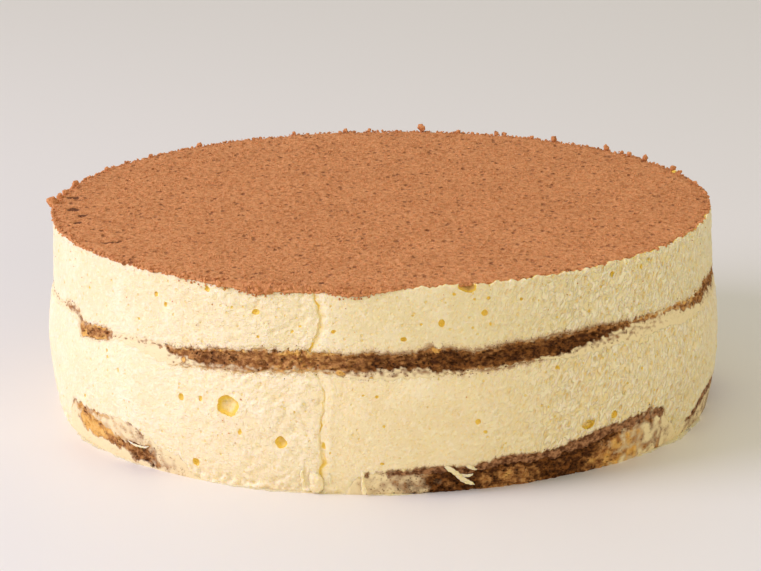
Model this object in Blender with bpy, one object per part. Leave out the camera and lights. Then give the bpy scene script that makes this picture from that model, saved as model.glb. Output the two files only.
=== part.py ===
"""A whole round tiramisu cake: two sponges and two deep mascarpone creams, dusted with cocoa.

It was set in a ring, so its wall is smooth where the lining strip was peeled off, with burst air
bubbles and one upright seam where the strip's ends met. The sponges show in the wall only in places.
Metres, +Z up, the origin on the underside's centre. Angles run round the cake in degrees, from
the front (-Y) towards +X.
"""

import math
import random

import bmesh
import bpy
from mathutils import Vector, noise

# Driving sizes
FOOT_RADIUS = 0.1203  # of the wall where it stands, from a ring 240 mm across
BELLY = 0.0036  # how far the lower cream has swollen past the foot
BELLY_HEIGHT = 0.027
UPPER_RADIUS = 0.1218  # of the upper cream's wall at its lower edge
TOP_RADIUS = 0.1209  # of the upper cream's wall at its rim
CREAM_TOP = 0.0716  # height of the upper cream's flat top
COCOA_TOP = 0.0730  # height of the dusted surface
GAP = 0.0003  # between touching pieces

BASE_SPONGE_HEIGHT = 0.0125
MIDDLE_SPONGE_THICKNESS = 0.0080
MIDDLE_SPONGE_CENTRE = 0.0468  # height of its centre line at the front
MIDDLE_SPONGE_RISE = 0.0022  # its centre line lies this much higher on the right, lower on the left
EDGE_TAPER = 0.011  # length over which a sponge thins or thickens towards the wall
SPONGE_RECESS = 0.0008  # a sponge's edge lies this far inside the cream's wall
COVERED_RECESS = 0.0036  # and this far inside it where cream covers the base sponge

SEAM_ANGLE = -10.0
SEAM_DEPTH = 0.0009
SEAM_HALF_WIDTH = 0.5  # degrees
SEAM_STEP = 0.0005  # the cream left of the seam stands this proud of the right

COLUMN_STEP = 2.5  # degrees between the mesh's columns
UNEVEN = 0.0004  # slow unevenness of the wall

# Where the base sponge meets the wall: angle, height of its upper edge, and how much of it shows.
BASE_EDGE = (
    (-180, 0.012, 0.0),
    (-168, 0.013, 1.0),
    (-140, 0.011, 1.0),
    (-130, 0.011, 0.0),
    (-73, 0.013, 0.0),
    (-66, 0.0145, 1.0),
    (-48, 0.0135, 1.0),
    (-39, 0.009, 1.0),
    (-33, 0.008, 0.0),
    (-2, 0.008, 0.0),
    (5, 0.009, 1.0),
    (20, 0.012, 1.0),
    (32, 0.0145, 1.0),
    (43, 0.018, 1.0),
    (50, 0.0165, 1.0),
    (56, 0.011, 0.0),
    (60, 0.008, 0.0),
    (66, 0.009, 1.0),
    (98, 0.012, 1.0),
    (106, 0.011, 0.0),
    (138, 0.010, 0.0),
    (146, 0.012, 1.0),
    (165, 0.013, 1.0),
    (172, 0.012, 0.0),
)
# How thick the middle sponge shows in the wall: angle and thickness.
MIDDLE_EDGE = (
    (-180, 0.0050),
    (-150, 0.0022),
    (-122, 0.0055),
    (-90, 0.0030),
    (-70, 0.0009),
    (-58, 0.0034),
    (-50, 0.0018),
    (-42, 0.0009),
    (-34, 0.0040),
    (-28, 0.0054),
    (-17, 0.0034),
    (-8, 0.0048),
    (1, 0.0084),
    (9, 0.0080),
    (17, 0.0058),
    (27, 0.0040),
    (35, 0.0028),
    (44, 0.0012),
    (50, 0.0018),
    (58, 0.0042),
    (80, 0.0044),
    (108, 0.0012),
    (132, 0.0056),
    (155, 0.0064),
)
# Burst bubbles that show from a step away: angle, height, width and height of the hollow.
FRONT_BUBBLES = (
    (-25.9, 0.0287, 0.0066, 0.0080),
    (-16.6, 0.0184, 0.0042, 0.0046),
    (-32.2, 0.0170, 0.0030, 0.0034),
    (-34.2, 0.0301, 0.0028, 0.0028),
    (-50.7, 0.0332, 0.0024, 0.0034),
    (34.0, 0.0205, 0.0048, 0.0032),
    (39.6, 0.0235, 0.0026, 0.0030),
    (-39.9, 0.0642, 0.0026, 0.0024),
    (-20.0, 0.0623, 0.0034, 0.0026),
    (5.6, 0.0535, 0.0026, 0.0026),
    (8.8, 0.0613, 0.0026, 0.0032),
    (15.7, 0.0633, 0.0030, 0.0030),
)
RIM_NOTCH = (14.1, 0.0716, 0.0080, 0.0050)  # a bubble that burst through the rim
BACK_BUBBLES = 14
BUBBLE_SEED = 5
# Clumps of damp cocoa that stand up at the rim: angle and radius.
RIM_CLUMPS = (
    (172.6, 0.0017),
    (157.4, 0.0010),
    (145.7, 0.0012),
    (133.3, 0.0012),
    (128.4, 0.0010),
    (123.3, 0.0013),
    (112.1, 0.0013),
    (101.0, 0.0010),
    (-92.0, 0.0016),
    (-97.0, 0.0010),
    (-118.0, 0.0010),
    (-143.0, 0.0011),
    (-163.0, 0.0010),
)


# ---------------------------------------------------------------- helpers


def place(angle, radius, height):
    """The point at this angle round the cake, this far from its axis."""
    turn = math.radians(angle)
    return Vector((radius * math.sin(turn), -radius * math.cos(turn), height))


def eased(stops, angle, column=1):
    """A value that passes smoothly round the cake from each stop to the next."""
    angle = (angle + 180) % 360 - 180
    closed = (*stops, (stops[0][0] + 360, *stops[0][1:]))
    for here, there in zip(closed, closed[1:]):
        if here[0] <= angle <= there[0]:
            share = (angle - here[0]) / (there[0] - here[0])
            share = share * share * (3 - 2 * share)
            return here[column] + share * (there[column] - here[column])
    return stops[0][column]


def rough(angle, height, size, grain, seed):
    """Unevenness of up to about this size, with bumps about a grain long, at a place on the wall."""
    at = place(angle, FOOT_RADIUS, height) / grain
    return size * noise.noise(at + Vector((seed * 7.3, seed * 1.7, seed * 3.1)))


def columns():
    """The angles of the mesh's columns, closer together round the seam."""
    even = [-180 + COLUMN_STEP * i for i in range(round(360 / COLUMN_STEP))]
    clear = [a for a in even if abs(a - SEAM_ANGLE) > 3 * SEAM_HALF_WIDTH]
    seam = [SEAM_ANGLE + k * SEAM_HALF_WIDTH for k in (-3, -1, 0, 1, 3)]
    return sorted(clear + seam)


def bridge(bm, low, low_next, high_next, high, outwards):
    """Two triangles between neighbouring rings, split the same way on both sides of a joint, so that
    touching pieces keep their gap."""
    if outwards:
        bm.faces.new((low, low_next, high_next))
        bm.faces.new((low, high_next, high))
    else:
        bm.faces.new((low, low_next, high))
        bm.faces.new((low_next, high_next, high))


def loft(name, rings, material):
    """A closed solid through rings of (radius, height) functions of the angle, from the underside's
    middle up the outside to the top's middle."""
    angles = columns()
    mesh = bpy.data.meshes.new(name)
    bm = bmesh.new()
    loops = [[bm.verts.new(place(a, *ring(a))) for a in angles] for ring in rings]
    for low, high in zip(loops, loops[1:]):
        outwards = low[0].co.xy.length < high[0].co.xy.length
        for i in range(len(angles)):
            j = (i + 1) % len(angles)
            bridge(bm, low[i], low[j], high[j], high[i], outwards)
    bm.faces.new(reversed(loops[0]))
    bm.faces.new(loops[-1])
    bm.normal_update()
    bm.to_mesh(mesh)
    bm.free()
    obj = bpy.data.objects.new(name, mesh)
    bpy.context.scene.collection.objects.link(obj)
    obj.data.materials.append(material)
    return obj


def blob(name, centre, size, turn, smoothness, collection):
    """A slightly lumpy ball of the given x, y and z size, turned about the upright axis."""
    mesh = bpy.data.meshes.new(name)
    bm = bmesh.new()
    bmesh.ops.create_icosphere(bm, subdivisions=smoothness, radius=0.5)
    for vert in bm.verts:
        vert.co *= 1 + 0.12 * noise.noise(vert.co * 4 + centre * 900)
        vert.co = Vector((vert.co.x * size[0], vert.co.y * size[1], vert.co.z * size[2]))
    bm.to_mesh(mesh)
    bm.free()
    obj = bpy.data.objects.new(name, mesh)
    obj.location = centre
    obj.rotation_euler.z = math.radians(turn)
    collection.objects.link(obj)
    return obj


def apply_boolean(obj, collection, operation):
    """Joins or cuts the whole collection in one step, then removes it."""
    boolean = obj.modifiers.new(operation.title(), "BOOLEAN")
    boolean.operation = operation
    boolean.operand_type = "COLLECTION"
    boolean.collection = collection
    bpy.context.view_layer.objects.active = obj
    bpy.ops.object.modifier_apply(modifier=boolean.name)
    for helper in list(collection.objects):
        bpy.data.objects.remove(helper)
    bpy.data.collections.remove(collection)


def helpers(name):
    collection = bpy.data.collections.new(name)
    bpy.context.scene.collection.children.link(collection)
    return collection


def finish_material(name, colour, roughness, subsurface=0.0):
    material = bpy.data.materials.new(name)
    material.use_nodes = True
    shader = material.node_tree.nodes["Principled BSDF"]
    shader.inputs["Base Color"].default_value = (*colour, 1)
    shader.inputs["Roughness"].default_value = roughness
    shader.inputs["Metallic"].default_value = 0.0
    shader.inputs["Subsurface Weight"].default_value = subsurface
    return material


# ---------------------------------------------------------------- the wall and what meets it


def wall(angle, height):
    """Radius of the cake's wall. The lower cream bellies out, and the upper one stands straighter."""
    if height < MIDDLE_SPONGE_CENTRE:
        radius = FOOT_RADIUS + BELLY * (1 - ((height - BELLY_HEIGHT) / BELLY_HEIGHT) ** 2)
    else:
        share = (height - MIDDLE_SPONGE_CENTRE) / (CREAM_TOP - MIDDLE_SPONGE_CENTRE)
        radius = UPPER_RADIUS + share * (TOP_RADIUS - UPPER_RADIUS)
    from_seam = angle - SEAM_ANGLE
    crease = SEAM_DEPTH * max(0.0, 1 - abs(from_seam) / (2 * SEAM_HALF_WIDTH))
    step = SEAM_STEP * math.exp(from_seam / 8) if from_seam < 0 else 0.0
    return radius + rough(angle, height, UNEVEN, 0.028, 1) + step - crease


def base_shows(angle):
    """(how far the cream's foot is lifted off the floor, how far the sponge comes out), each from 0
    to 1. The foot lifts first, so that the sponge comes out only where it is clear."""
    shows = eased(BASE_EDGE, angle, 2)
    return min(1.0, shows / 0.5), max(0.0, (shows - 0.5) / 0.5)


def base_top(angle):
    return eased(BASE_EDGE, angle) + rough(angle, 0, 0.0008, 0.009, 2)


def base_reach(angle):
    """Radius of the base sponge's edge."""
    out = base_shows(angle)[1]
    recess = COVERED_RECESS + out * (SPONGE_RECESS - COVERED_RECESS)
    return wall(angle, 0.006) - recess


def middle_centre(angle):
    rise = MIDDLE_SPONGE_RISE * math.sin(math.radians(angle))
    return MIDDLE_SPONGE_CENTRE + rise + rough(angle, 0.046, 0.0008, 0.02, 3)


def middle_half(angle):
    """Half the thickness that the middle sponge shows in the wall."""
    return eased(MIDDLE_EDGE, angle) / 2 + 0.2 * rough(angle, 0.046, 0.001, 0.008, 4)


def inner(radius_inside):
    return FOOT_RADIUS - EDGE_TAPER - radius_inside


# ---------------------------------------------------------------- the five pieces


def base_sponge():
    """Soaked sponge at the bottom, whose crumbly edge shows where the cream doesn't cover it."""

    def edge(share, crumble):
        def ring(a):
            height = share * base_top(a)
            return base_reach(a) - abs(rough(a, height, crumble, 0.006, 5)), height

        return ring

    rings = [
        lambda a: (base_reach(a) - 0.001, 0.0),
        edge(0.25, 0.0012),
        edge(0.60, 0.0016),
        lambda a: (base_reach(a) - 0.0008, base_top(a)),
        lambda a: (inner(0), BASE_SPONGE_HEIGHT),
    ]
    soaked = finish_material("soaked_sponge", (0.16, 0.075, 0.027), 0.85)
    return loft("base_sponge", rings, soaked)


def lower_cream():
    """Thick cream on the base sponge, wrapped round its edge down to the floor where it is covered."""

    def foot(a):
        lift = base_shows(a)[0]
        return lift * (base_top(a) + GAP)

    def side(share):
        def ring(a):
            height = foot(a) + share * (upper_edge(a) - foot(a))
            return wall(a, height), height

        return ring

    def upper_edge(a):
        return middle_centre(a) - middle_half(a) - GAP

    rings = [
        lambda a: (inner(0), BASE_SPONGE_HEIGHT + GAP),
        lambda a: (base_reach(a) - 0.0008, base_top(a) + GAP),
        lambda a: (base_reach(a) + GAP, max(foot(a), base_top(a) - 0.0008)),
        lambda a: (base_reach(a) + 1.5 * GAP, foot(a)),
        lambda a: (wall(a, foot(a)), foot(a)),
        side(0.08),
        side(0.30),
        side(0.55),
        side(0.78),
        side(0.95),
        lambda a: (wall(a, upper_edge(a)) - 0.0012, upper_edge(a)),
        lambda a: (inner(0), MIDDLE_SPONGE_CENTRE - MIDDLE_SPONGE_THICKNESS / 2 - GAP),
    ]
    mascarpone = finish_material("mascarpone", (0.86, 0.70, 0.40), 0.5, 0.3)
    return loft("lower_cream", rings, mascarpone)


def middle_sponge():
    """Soaked sponge between the creams. Its edge thins out where cream squeezed over it."""

    def edge(side, share, crumble):
        def ring(a):
            height = middle_centre(a) + side * share * middle_half(a)
            radius = wall(a, 0.044) - SPONGE_RECESS - 0.0012 * share * share
            return radius + rough(a, height, crumble, 0.005, 6), height

        return ring

    rings = [
        lambda a: (inner(0), MIDDLE_SPONGE_CENTRE - MIDDLE_SPONGE_THICKNESS / 2),
        edge(-1, 1.0, 0.0),
        edge(-1, 0.35, 0.0008),
        edge(1, 0.45, 0.0008),
        edge(1, 1.0, 0.0),
        lambda a: (inner(0), MIDDLE_SPONGE_CENTRE + MIDDLE_SPONGE_THICKNESS / 2),
    ]
    return loft("middle_sponge", rings, bpy.data.materials["soaked_sponge"])


def upper_cream():
    """The second cream, levelled off flat at the ring's rim."""

    def lower_edge(a):
        return middle_centre(a) + middle_half(a) + GAP

    def side(share):
        def ring(a):
            height = lower_edge(a) + share * (CREAM_TOP - lower_edge(a))
            return wall(a, max(height, MIDDLE_SPONGE_CENTRE)), height

        return ring

    rings = [
        lambda a: (inner(0), MIDDLE_SPONGE_CENTRE + MIDDLE_SPONGE_THICKNESS / 2 + GAP),
        lambda a: (wall(a, MIDDLE_SPONGE_CENTRE) - 0.0014, lower_edge(a)),
        side(0.06),
        side(0.32),
        side(0.62),
        side(0.90),
        lambda a: (TOP_RADIUS - 0.0008 + rough(a, 0.07, 0.0005, 0.006, 7), CREAM_TOP),
    ]
    return loft("upper_cream", rings, bpy.data.materials["mascarpone"])


def cocoa_dusting():
    """A level bed of cocoa, ragged at the rim, with the clumps that stand up there."""

    def outline(a):
        return TOP_RADIUS - 0.0004 + rough(a, 0.072, 0.0016, 0.005, 8)

    def surface(radius):
        return lambda a: (radius, COCOA_TOP + rough(a, 40 * radius, 0.0003, 0.01, 9))

    rings = [
        lambda a: (outline(a) - 0.0005, CREAM_TOP + GAP),
        lambda a: (outline(a), CREAM_TOP + GAP + 0.0005),
        lambda a: (outline(a) - 0.0007, COCOA_TOP - 0.0001),
        surface(TOP_RADIUS - 0.006),
        surface(TOP_RADIUS - 0.022),
        surface(TOP_RADIUS - 0.050),
    ]
    cocoa = finish_material("cocoa", (0.52, 0.21, 0.08), 0.95)
    dusting = loft("cocoa_dusting", rings, cocoa)
    clumps = helpers("clumps")
    for angle, radius in RIM_CLUMPS:
        low = CREAM_TOP + 2 * GAP
        centre = place(angle, TOP_RADIUS - 0.0012, low + radius)
        size = (2.4 * radius, 2.0 * radius, 2.0 * radius)
        smoothness = 2 if radius > 0.0014 else 1
        blob("clump", centre, size, angle, smoothness, clumps)
    apply_boolean(dusting, clumps, "UNION")


def bubbles_between(low, high, many, rng):
    """Bubbles scattered over the back of the wall, where the front's list doesn't reach."""
    found = []
    for i in range(many):
        angle = 70 + (i + 0.2 + 0.6 * rng.random()) * 220 / many
        size = rng.uniform(0.0024, 0.0044)
        height = rng.uniform(low, high)
        found.append((angle, height, size, size * rng.uniform(0.9, 1.2)))
    return found


def burst_bubbles(cream, bubbles):
    """Hollows each bubble out of the wall, a little less than half a ball deep."""
    hollows = helpers("hollows")
    for angle, height, wide, tall in bubbles:
        radius = wall(angle, height) + 0.12 * wide
        blob("hollow", place(angle, radius, height), (wide, wide, tall), angle, 2, hollows)
    apply_boolean(cream, hollows, "DIFFERENCE")


def main():
    for obj in list(bpy.data.objects):
        bpy.data.objects.remove(obj)
    base_sponge()
    lower = lower_cream()
    middle_sponge()
    upper = upper_cream()
    cocoa_dusting()
    rng = random.Random(BUBBLE_SEED)
    in_lower = [b for b in FRONT_BUBBLES if b[1] < MIDDLE_SPONGE_CENTRE]
    in_upper = [b for b in FRONT_BUBBLES if b[1] > MIDDLE_SPONGE_CENTRE]
    half = BACK_BUBBLES // 2
    burst_bubbles(lower, in_lower + bubbles_between(0.022, 0.036, half, rng))
    burst_bubbles(upper, in_upper + [RIM_NOTCH] + bubbles_between(0.058, 0.066, half, rng))
    for obj in bpy.data.objects:
        obj.data.shade_smooth()
        obj.data.set_sharp_from_angle(angle=math.radians(35))


main()
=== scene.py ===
import functools
import math
import random

import bpy
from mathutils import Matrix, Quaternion, Vector, noise


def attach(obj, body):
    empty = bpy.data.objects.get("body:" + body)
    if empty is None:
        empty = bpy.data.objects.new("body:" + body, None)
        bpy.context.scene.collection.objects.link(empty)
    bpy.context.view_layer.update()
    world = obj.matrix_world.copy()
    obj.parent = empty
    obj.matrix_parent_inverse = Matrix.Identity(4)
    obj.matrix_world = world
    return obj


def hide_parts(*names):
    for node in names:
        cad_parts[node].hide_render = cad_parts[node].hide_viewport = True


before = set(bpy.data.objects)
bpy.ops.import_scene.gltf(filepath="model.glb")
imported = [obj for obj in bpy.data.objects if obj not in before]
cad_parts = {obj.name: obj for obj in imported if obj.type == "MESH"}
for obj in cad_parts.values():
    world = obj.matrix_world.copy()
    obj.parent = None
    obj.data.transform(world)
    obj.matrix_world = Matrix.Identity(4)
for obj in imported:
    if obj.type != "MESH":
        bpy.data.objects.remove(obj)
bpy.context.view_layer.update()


# ---------------------------------------------------------------- base sponge
# The lowest layer: a sponge soaked in coffee, cut a little smaller than the ring it was set in.
# Its crumbly edge is bare where the cream did not run down past it, and wears a thin cream
# film elsewhere. A closed cylinder is cut into rows, and every row is set on its place.

MM = 0.001
FOOT_RADIUS = 120.3 * MM
BELLY = 3.6 * MM
BELLY_HEIGHT = 27 * MM
UPPER_RADIUS = 121.8 * MM
TOP_RADIUS = 120.9 * MM
CREAM_TOP = 71.6 * MM
EDGE_TAPER = 11 * MM  # how far in from the foot the layers' hidden sides reach
BASE_HEIGHT = 12.5 * MM
MIDDLE_HEIGHT = 46.8 * MM
MIDDLE_RISE = 2.2 * MM  # it lies this much higher on the right, and lower on the left
UNEVEN = 0.4 * MM
UNEVEN_GRAIN = 28 * MM
SEAM_ANGLE = -10
SEAM_STEP = 0.24 * MM
SEAM_STEP_FADE = 8  # degrees to the left of the seam
# The seam of the ring's lining: height in millimetres, how many degrees it wanders from its angle
# there, and the width in millimetres of the valley beside it.
SEAM_PATH = (
    (0, -1.0, 1.2), (5, -0.9, 1.6), (8.5, -0.6, 1.9), (14, -0.3, 1.7), (18, -0.2, 1.3), (21, -0.4, 0.55),
    (27, -0.1, 0.45), (33, 0.4, 0.45), (37, 0.5, 0.6), (41, -0.6, 0.6), (45, -1.5, 0.8), (50, -2.1, 0.9),
    (54, -1.4, 1.3), (58, -0.7, 1.9), (62, -0.2, 1.8), (66, -0.8, 1.5), (71, -1.3, 0.8), (76, -1.5, 0.7),
)
SEAM_REACH = 3  # degrees beside the seam that wander with it
BASE_ROWS = 34
COLUMNS = 1240  # round the cake
FRONT_CROWDING = 0.2  # columns stand this share closer at the front, and wider at the back

# Round the cake: angle, then in millimetres the height at which the cream ends above the bare
# sponge (0 where it runs down to the floor), and the foot of the sponge's brown crust.
BASE_EDGE = (
    (-180, 0, 9), (-174.5, 0, 9), (-171.5, 4, 9), (-169, 8.6, 9.5), (-166, 11.2, 9), (-162, 10, 9.5),
    (-158, 13.4, 10), (-153, 11.8, 9), (-148.5, 12.6, 10), (-144.5, 8.4, 8), (-141, 9, 8), (-138, 5, 8),
    (-134.5, 1.5, 8), (-131.5, 0, 8), (-74, 0, 9), (-70, 1.5, 9), (-66.8, 10, 9), (-65, 14.6, 9.4),
    (-63, 14.9, 11), (-61.7, 14.9, 13.4), (-58.5, 14.5, 13.4), (-55, 14.8, 11.6), (-53, 15.2, 11),
    (-50.5, 15.8, 11), (-48, 16, 11), (-46, 15.6, 11), (-44.8, 14.8, 11), (-42.3, 12.4, 9.4),
    (-39, 9.4, 9.4), (-36, 7.4, 9), (-34.5, 5, 9), (-32, 0, 9), (-6.5, 0, 7), (-4.5, 6.5, 7),
    (-2.5, 8.3, 7.3), (2.3, 9.1, 7.6), (7.4, 10.1, 7.8), (13, 9.3, 6.8), (16, 10.2, 7.5), (20.5, 11.8, 8.8),
    (29, 11.3, 8.8), (32, 13.1, 9.6), (37.5, 15.5, 11), (41, 15.9, 12.6), (44.5, 16.5, 13.8),
    (48.2, 17.5, 14), (51, 16.6, 13.3), (52.8, 15.6, 12.9), (53.8, 12, 11.5), (56.5, 8, 8), (60.2, 1, 5),
    (61.6, 3, 5), (64.4, 5.4, 4), (67, 7.6, 4), (70, 10.6, 7), (72, 11.6, 8), (78, 12.8, 9.5),
    (84, 11.2, 8), (90, 12.4, 9), (96, 10, 7.5), (100, 7, 7), (103, 6.4, 7), (105.5, 2.5, 7), (108, 0, 7),
    (139, 0, 8), (141.5, 3, 8), (144, 7.6, 7), (147.5, 9.4, 7.5), (151, 12.4, 9.5), (156, 11.2, 9),
    (160.5, 13.2, 10), (164, 11.4, 9), (167, 7.4, 7), (170.5, 4.8, 7), (174, 0, 7),
)
# On the left of the front a film of cream is wiped over the crust again: angle, and the height in
# millimetres that it reaches down to.
WIPED_DOWN_TO = (
    (-66.8, 8), (-65, 8.4), (-63, 9.9), (-61.7, 12.3), (-58.5, 12.2), (-55, 10.2), (-53, 8.8), (-50.5, 8.4),
    (-48, 8.2), (-46, 7.8), (-44.8, 7.6), (-42.3, 7.8), (-39, 7.4), (-36, 6), (-34.5, 5), (-32, 5),
)
# Angle, cream film over the crumb (past 1 it hides all), how pale and orange the crumb is, and
# how dark and wet, from 0 to 1.
BASE_LOOK = (
    (-180, 0.5, 0.1, 0.4), (-168, 0.8, 0.3, 0.3), (-160, 0.3, 0.3, 0.6), (-150, 0.5, 0.5, 0.2),
    (-140, 0.9, 0.2, 0.3), (-74, 0.9, 0.3, 0.2), (-66, 1.4, 0.3, 0.1), (-64, 1.2, 0.6, 0.1),
    (-62.3, 0.1, 0.85, 0), (-54, 0, 0.8, 0.05), (-51.5, 0, 0.6, 0.15), (-49, 0.1, 0.5, 0.2),
    (-46.5, 0.15, 0.3, 0.45), (-43.3, 0.15, 0.25, 0.6), (-41.6, 0.7, 0.4, 0.2), (-39.5, 0.95, 0.5, 0),
    (-36, 1.1, 0.5, 0), (-33, 1.4, 0.1, 0.2), (-4, 1.15, 0, 0.3), (1, 0.82, 0, 0.5), (5.5, 0.72, 0, 0.6),
    (8, 0.3, 0, 0.9), (11, 0, 0.05, 0.95), (15, 0, 0.2, 0.85), (17.5, 0.15, 0.3, 0.55),
    (20, 0.2, 0.45, 0.35), (24, 0.2, 0.42, 0.35), (26.5, 0.1, 0.15, 0.9), (29, 0, 0.05, 1), (33, 0, 0.1, 1),
    (36.5, 0.1, 0.4, 0.6), (40, 0.3, 0.65, 0.2), (43.5, 0.6, 0.85, 0), (46.5, 0.72, 0.8, 0),
    (49.5, 0.88, 0.3, 0.2), (52, 0.98, 0.2, 0.3), (59, 1.15, 0.1, 0.4), (62, 1.0, 0, 0.5),
    (80, 0.8, 0.1, 0.7), (89, 0.4, 0.4, 0.4), (98, 0.7, 0.3, 0.4), (120, 0.9, 0.2, 0.3),
    (146, 0.8, 0.4, 0.3), (158, 0.4, 0.2, 0.5), (166, 0.7, 0.3, 0.6),
)
TEAR_UNDER_CRUST = 0.9 * MM
SPONGE_LAYERS = ("film", "pale", "wet", "crust")


def place(angle, radius, height):
    """The point at this angle round the cake in degrees, from the front (-Y) towards +X."""
    turn = math.radians(angle)
    return Vector((radius * math.sin(turn), -radius * math.cos(turn), height))


def polar(point):
    """A point's angle round the cake, its radius and its height."""
    return math.degrees(math.atan2(point.x, -point.y)), math.hypot(point.x, point.y), point.z


@functools.cache
def eased(stops, angle, column=1):
    """A value that passes smoothly round the cake from each stop to the next."""
    angle = (angle + 180) % 360 - 180
    closed = (*stops, (stops[0][0] + 360, *stops[0][1:]))
    for here, there in zip(closed, closed[1:]):
        if here[0] <= angle <= there[0]:
            share = (angle - here[0]) / (there[0] - here[0])
            share = share * share * (3 - 2 * share)
            return here[column] + share * (there[column] - here[column])
    return stops[0][column]


def rough(angle, height, size, grain, seed, stretch=1, lean=0):
    """Unevenness of up to about this size on the wall, with bumps about a grain wide and stretch
    times as tall, which lean over to the right by lean for each step up."""
    leant = angle - math.degrees(lean * height / FOOT_RADIUS)
    at = place(leant, FOOT_RADIUS, height / stretch) / grain
    return size * noise.noise(at + Vector((seed * 7.3, seed * 1.7, seed * 3.1)))


def step(low, high, value):
    """0 below low, 1 above high, and smooth between them."""
    share = min(1, max(0, (value - low) / (high - low)))
    return share * share * (3 - 2 * share)


def span(value, begins, full, fading, ends):
    """1 between full and fading, and smoothly down to 0 at begins and at ends."""
    return step(begins, full, value) * (1 - step(fading, ends, value))


def along_seam(height, column):
    """How far the seam wanders at this height (column 1), or how wide its valley is (column 2)."""
    for here, there in zip(SEAM_PATH, SEAM_PATH[1:]):
        if height <= there[0] * MM:
            share = step(here[0] * MM, there[0] * MM, height)
            return here[column] + share * (there[column] - here[column])
    return SEAM_PATH[-1][column]


def seam_drift(angle, height):
    """How many degrees a place near the seam is moved, so that the seam follows its path."""
    off = abs(angle - SEAM_ANGLE) / SEAM_REACH
    if off > 3:
        return 0
    crooked = rough(0, height, 0.3, 3.2 * MM, 17) + rough(0, height, 0.2, 1.3 * MM, 18)
    return (along_seam(height, 1) + crooked) * math.exp(-off * off)


def wall(angle, height):
    """Radius of the cake's wall. The lower cream bellies out, and the upper one stands straighter."""
    if height < MIDDLE_HEIGHT + MIDDLE_RISE * math.sin(math.radians(angle)):
        radius = FOOT_RADIUS + BELLY * (1 - ((height - BELLY_HEIGHT) / BELLY_HEIGHT) ** 2)
    else:
        share = (height - MIDDLE_HEIGHT) / (CREAM_TOP - MIDDLE_HEIGHT)
        radius = UPPER_RADIUS + share * (TOP_RADIUS - UPPER_RADIUS)
    if angle < SEAM_ANGLE:
        radius += SEAM_STEP * math.exp((angle - SEAM_ANGLE) / SEAM_STEP_FADE)
    return radius + rough(angle, height, UNEVEN, UNEVEN_GRAIN, 1)


@functools.cache
def cream_foot(angle):
    """Height of the lower cream's torn foot: 0 where it stands on the floor."""
    foot = eased(BASE_EDGE, angle) * MM
    torn = rough(angle, 0, 0.9 * MM, 2.2 * MM, 12) + rough(angle, 0, 0.7 * MM, 0.9 * MM, 13)
    return foot + torn * step(0, 5 * MM, foot) if foot > 0 else 0


@functools.cache
def base_top(angle):
    """Height up to which the base sponge is made. The cream hides the last of it."""
    return max(9.5 * MM, cream_foot(angle)) + 0.8 * MM


def off_edge(edge, angle, height):
    """How far a place on the wall lies from a torn edge, whose height is a function of the angle."""
    turn = 0.3
    rise = edge(round(angle + turn, 2)) - edge(round(angle - turn, 2))
    slope = rise / (2 * math.radians(turn) * FOOT_RADIUS)
    return (height - edge(angle)) / math.hypot(1, slope)


def fades(distance, reach):
    """1 at an edge, and less the farther away."""
    return math.exp(-abs(distance) / reach)


def base_zones(angle, height):
    """Cream film, paleness, wetness and crust at a place on the base sponge, each from 0 to 1."""
    crooked = height + rough(angle, height, 1.6 * MM, 3.4 * MM, 14)
    crooked += rough(angle, height, 0.8 * MM, 1.2 * MM, 15)
    aside = round(angle + rough(angle, height, 2.2, 3 * MM, 16), 1)
    film, pale, wet = (eased(BASE_LOOK, aside, i) for i in (1, 2, 3))
    crust_foot = eased(BASE_EDGE, angle, 2) * MM
    crust = step(crust_foot - 0.5 * MM, crust_foot + 0.4 * MM, crooked)
    # On the left, cream is wiped over the crust from above, and smeared up from the floor.
    wiped = eased(WIPED_DOWN_TO, angle) * MM
    over = step(wiped - 0.6 * MM, wiped + 0.8 * MM, crooked) if -68 < angle < -34 else 0
    smeared = (5.2 - 3.4 * step(-52, -45, angle)) * MM
    under = 1 - step(smeared - 0.9 * MM, smeared + 0.9 * MM, crooked)
    under *= span(angle, -70, -67, -40, -36)
    film = max(film * (1 - 0.65 * crust), 0.9 * over, 1.4 * under)
    crust *= 1 - over
    # On the right, a dark tear runs along under the crust.
    below = (crooked - crust_foot + TEAR_UNDER_CRUST) / (0.75 * MM)
    torn = math.exp(-below * below) * span(angle, 6, 10, 49, 52) * (1 - 0.6 * step(40, 44, angle))
    # On the left, a dark line of crumb shows along the cream's foot, widest at the patch's end.
    wide = (1 + 2.6 * math.exp(-(((angle + 60.5) / 2.5) ** 2))) * MM
    line = 1 - step(0.5 * wide, 1.3 * wide, cream_foot(angle) - crooked)
    line *= 0.65 * span(angle, -66.5, -65, -45, -41) * (1 - 0.4 * step(-58, -52, angle))
    film *= (1 - line) * (1 - 0.8 * torn)
    pale = max(0, pale - 1.2 * torn) * (1 - crust) * (1 - line) + 0.3 * line
    veiled = over * (1 - line)
    return film, pale + 0.4 * veiled, max(wet, torn) * (1 - veiled), crust


def fresh(add, **sizes):
    """A new primitive, with nothing else selected."""
    bpy.ops.object.select_all(action="DESELECT")
    add(**sizes)
    return bpy.context.object


def choose(*pieces):
    """Selects these pieces alone, with the first of them active."""
    bpy.ops.object.select_all(action="DESELECT")
    for piece in pieces:
        piece.select_set(True)
    bpy.context.view_layer.objects.active = pieces[0]


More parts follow.
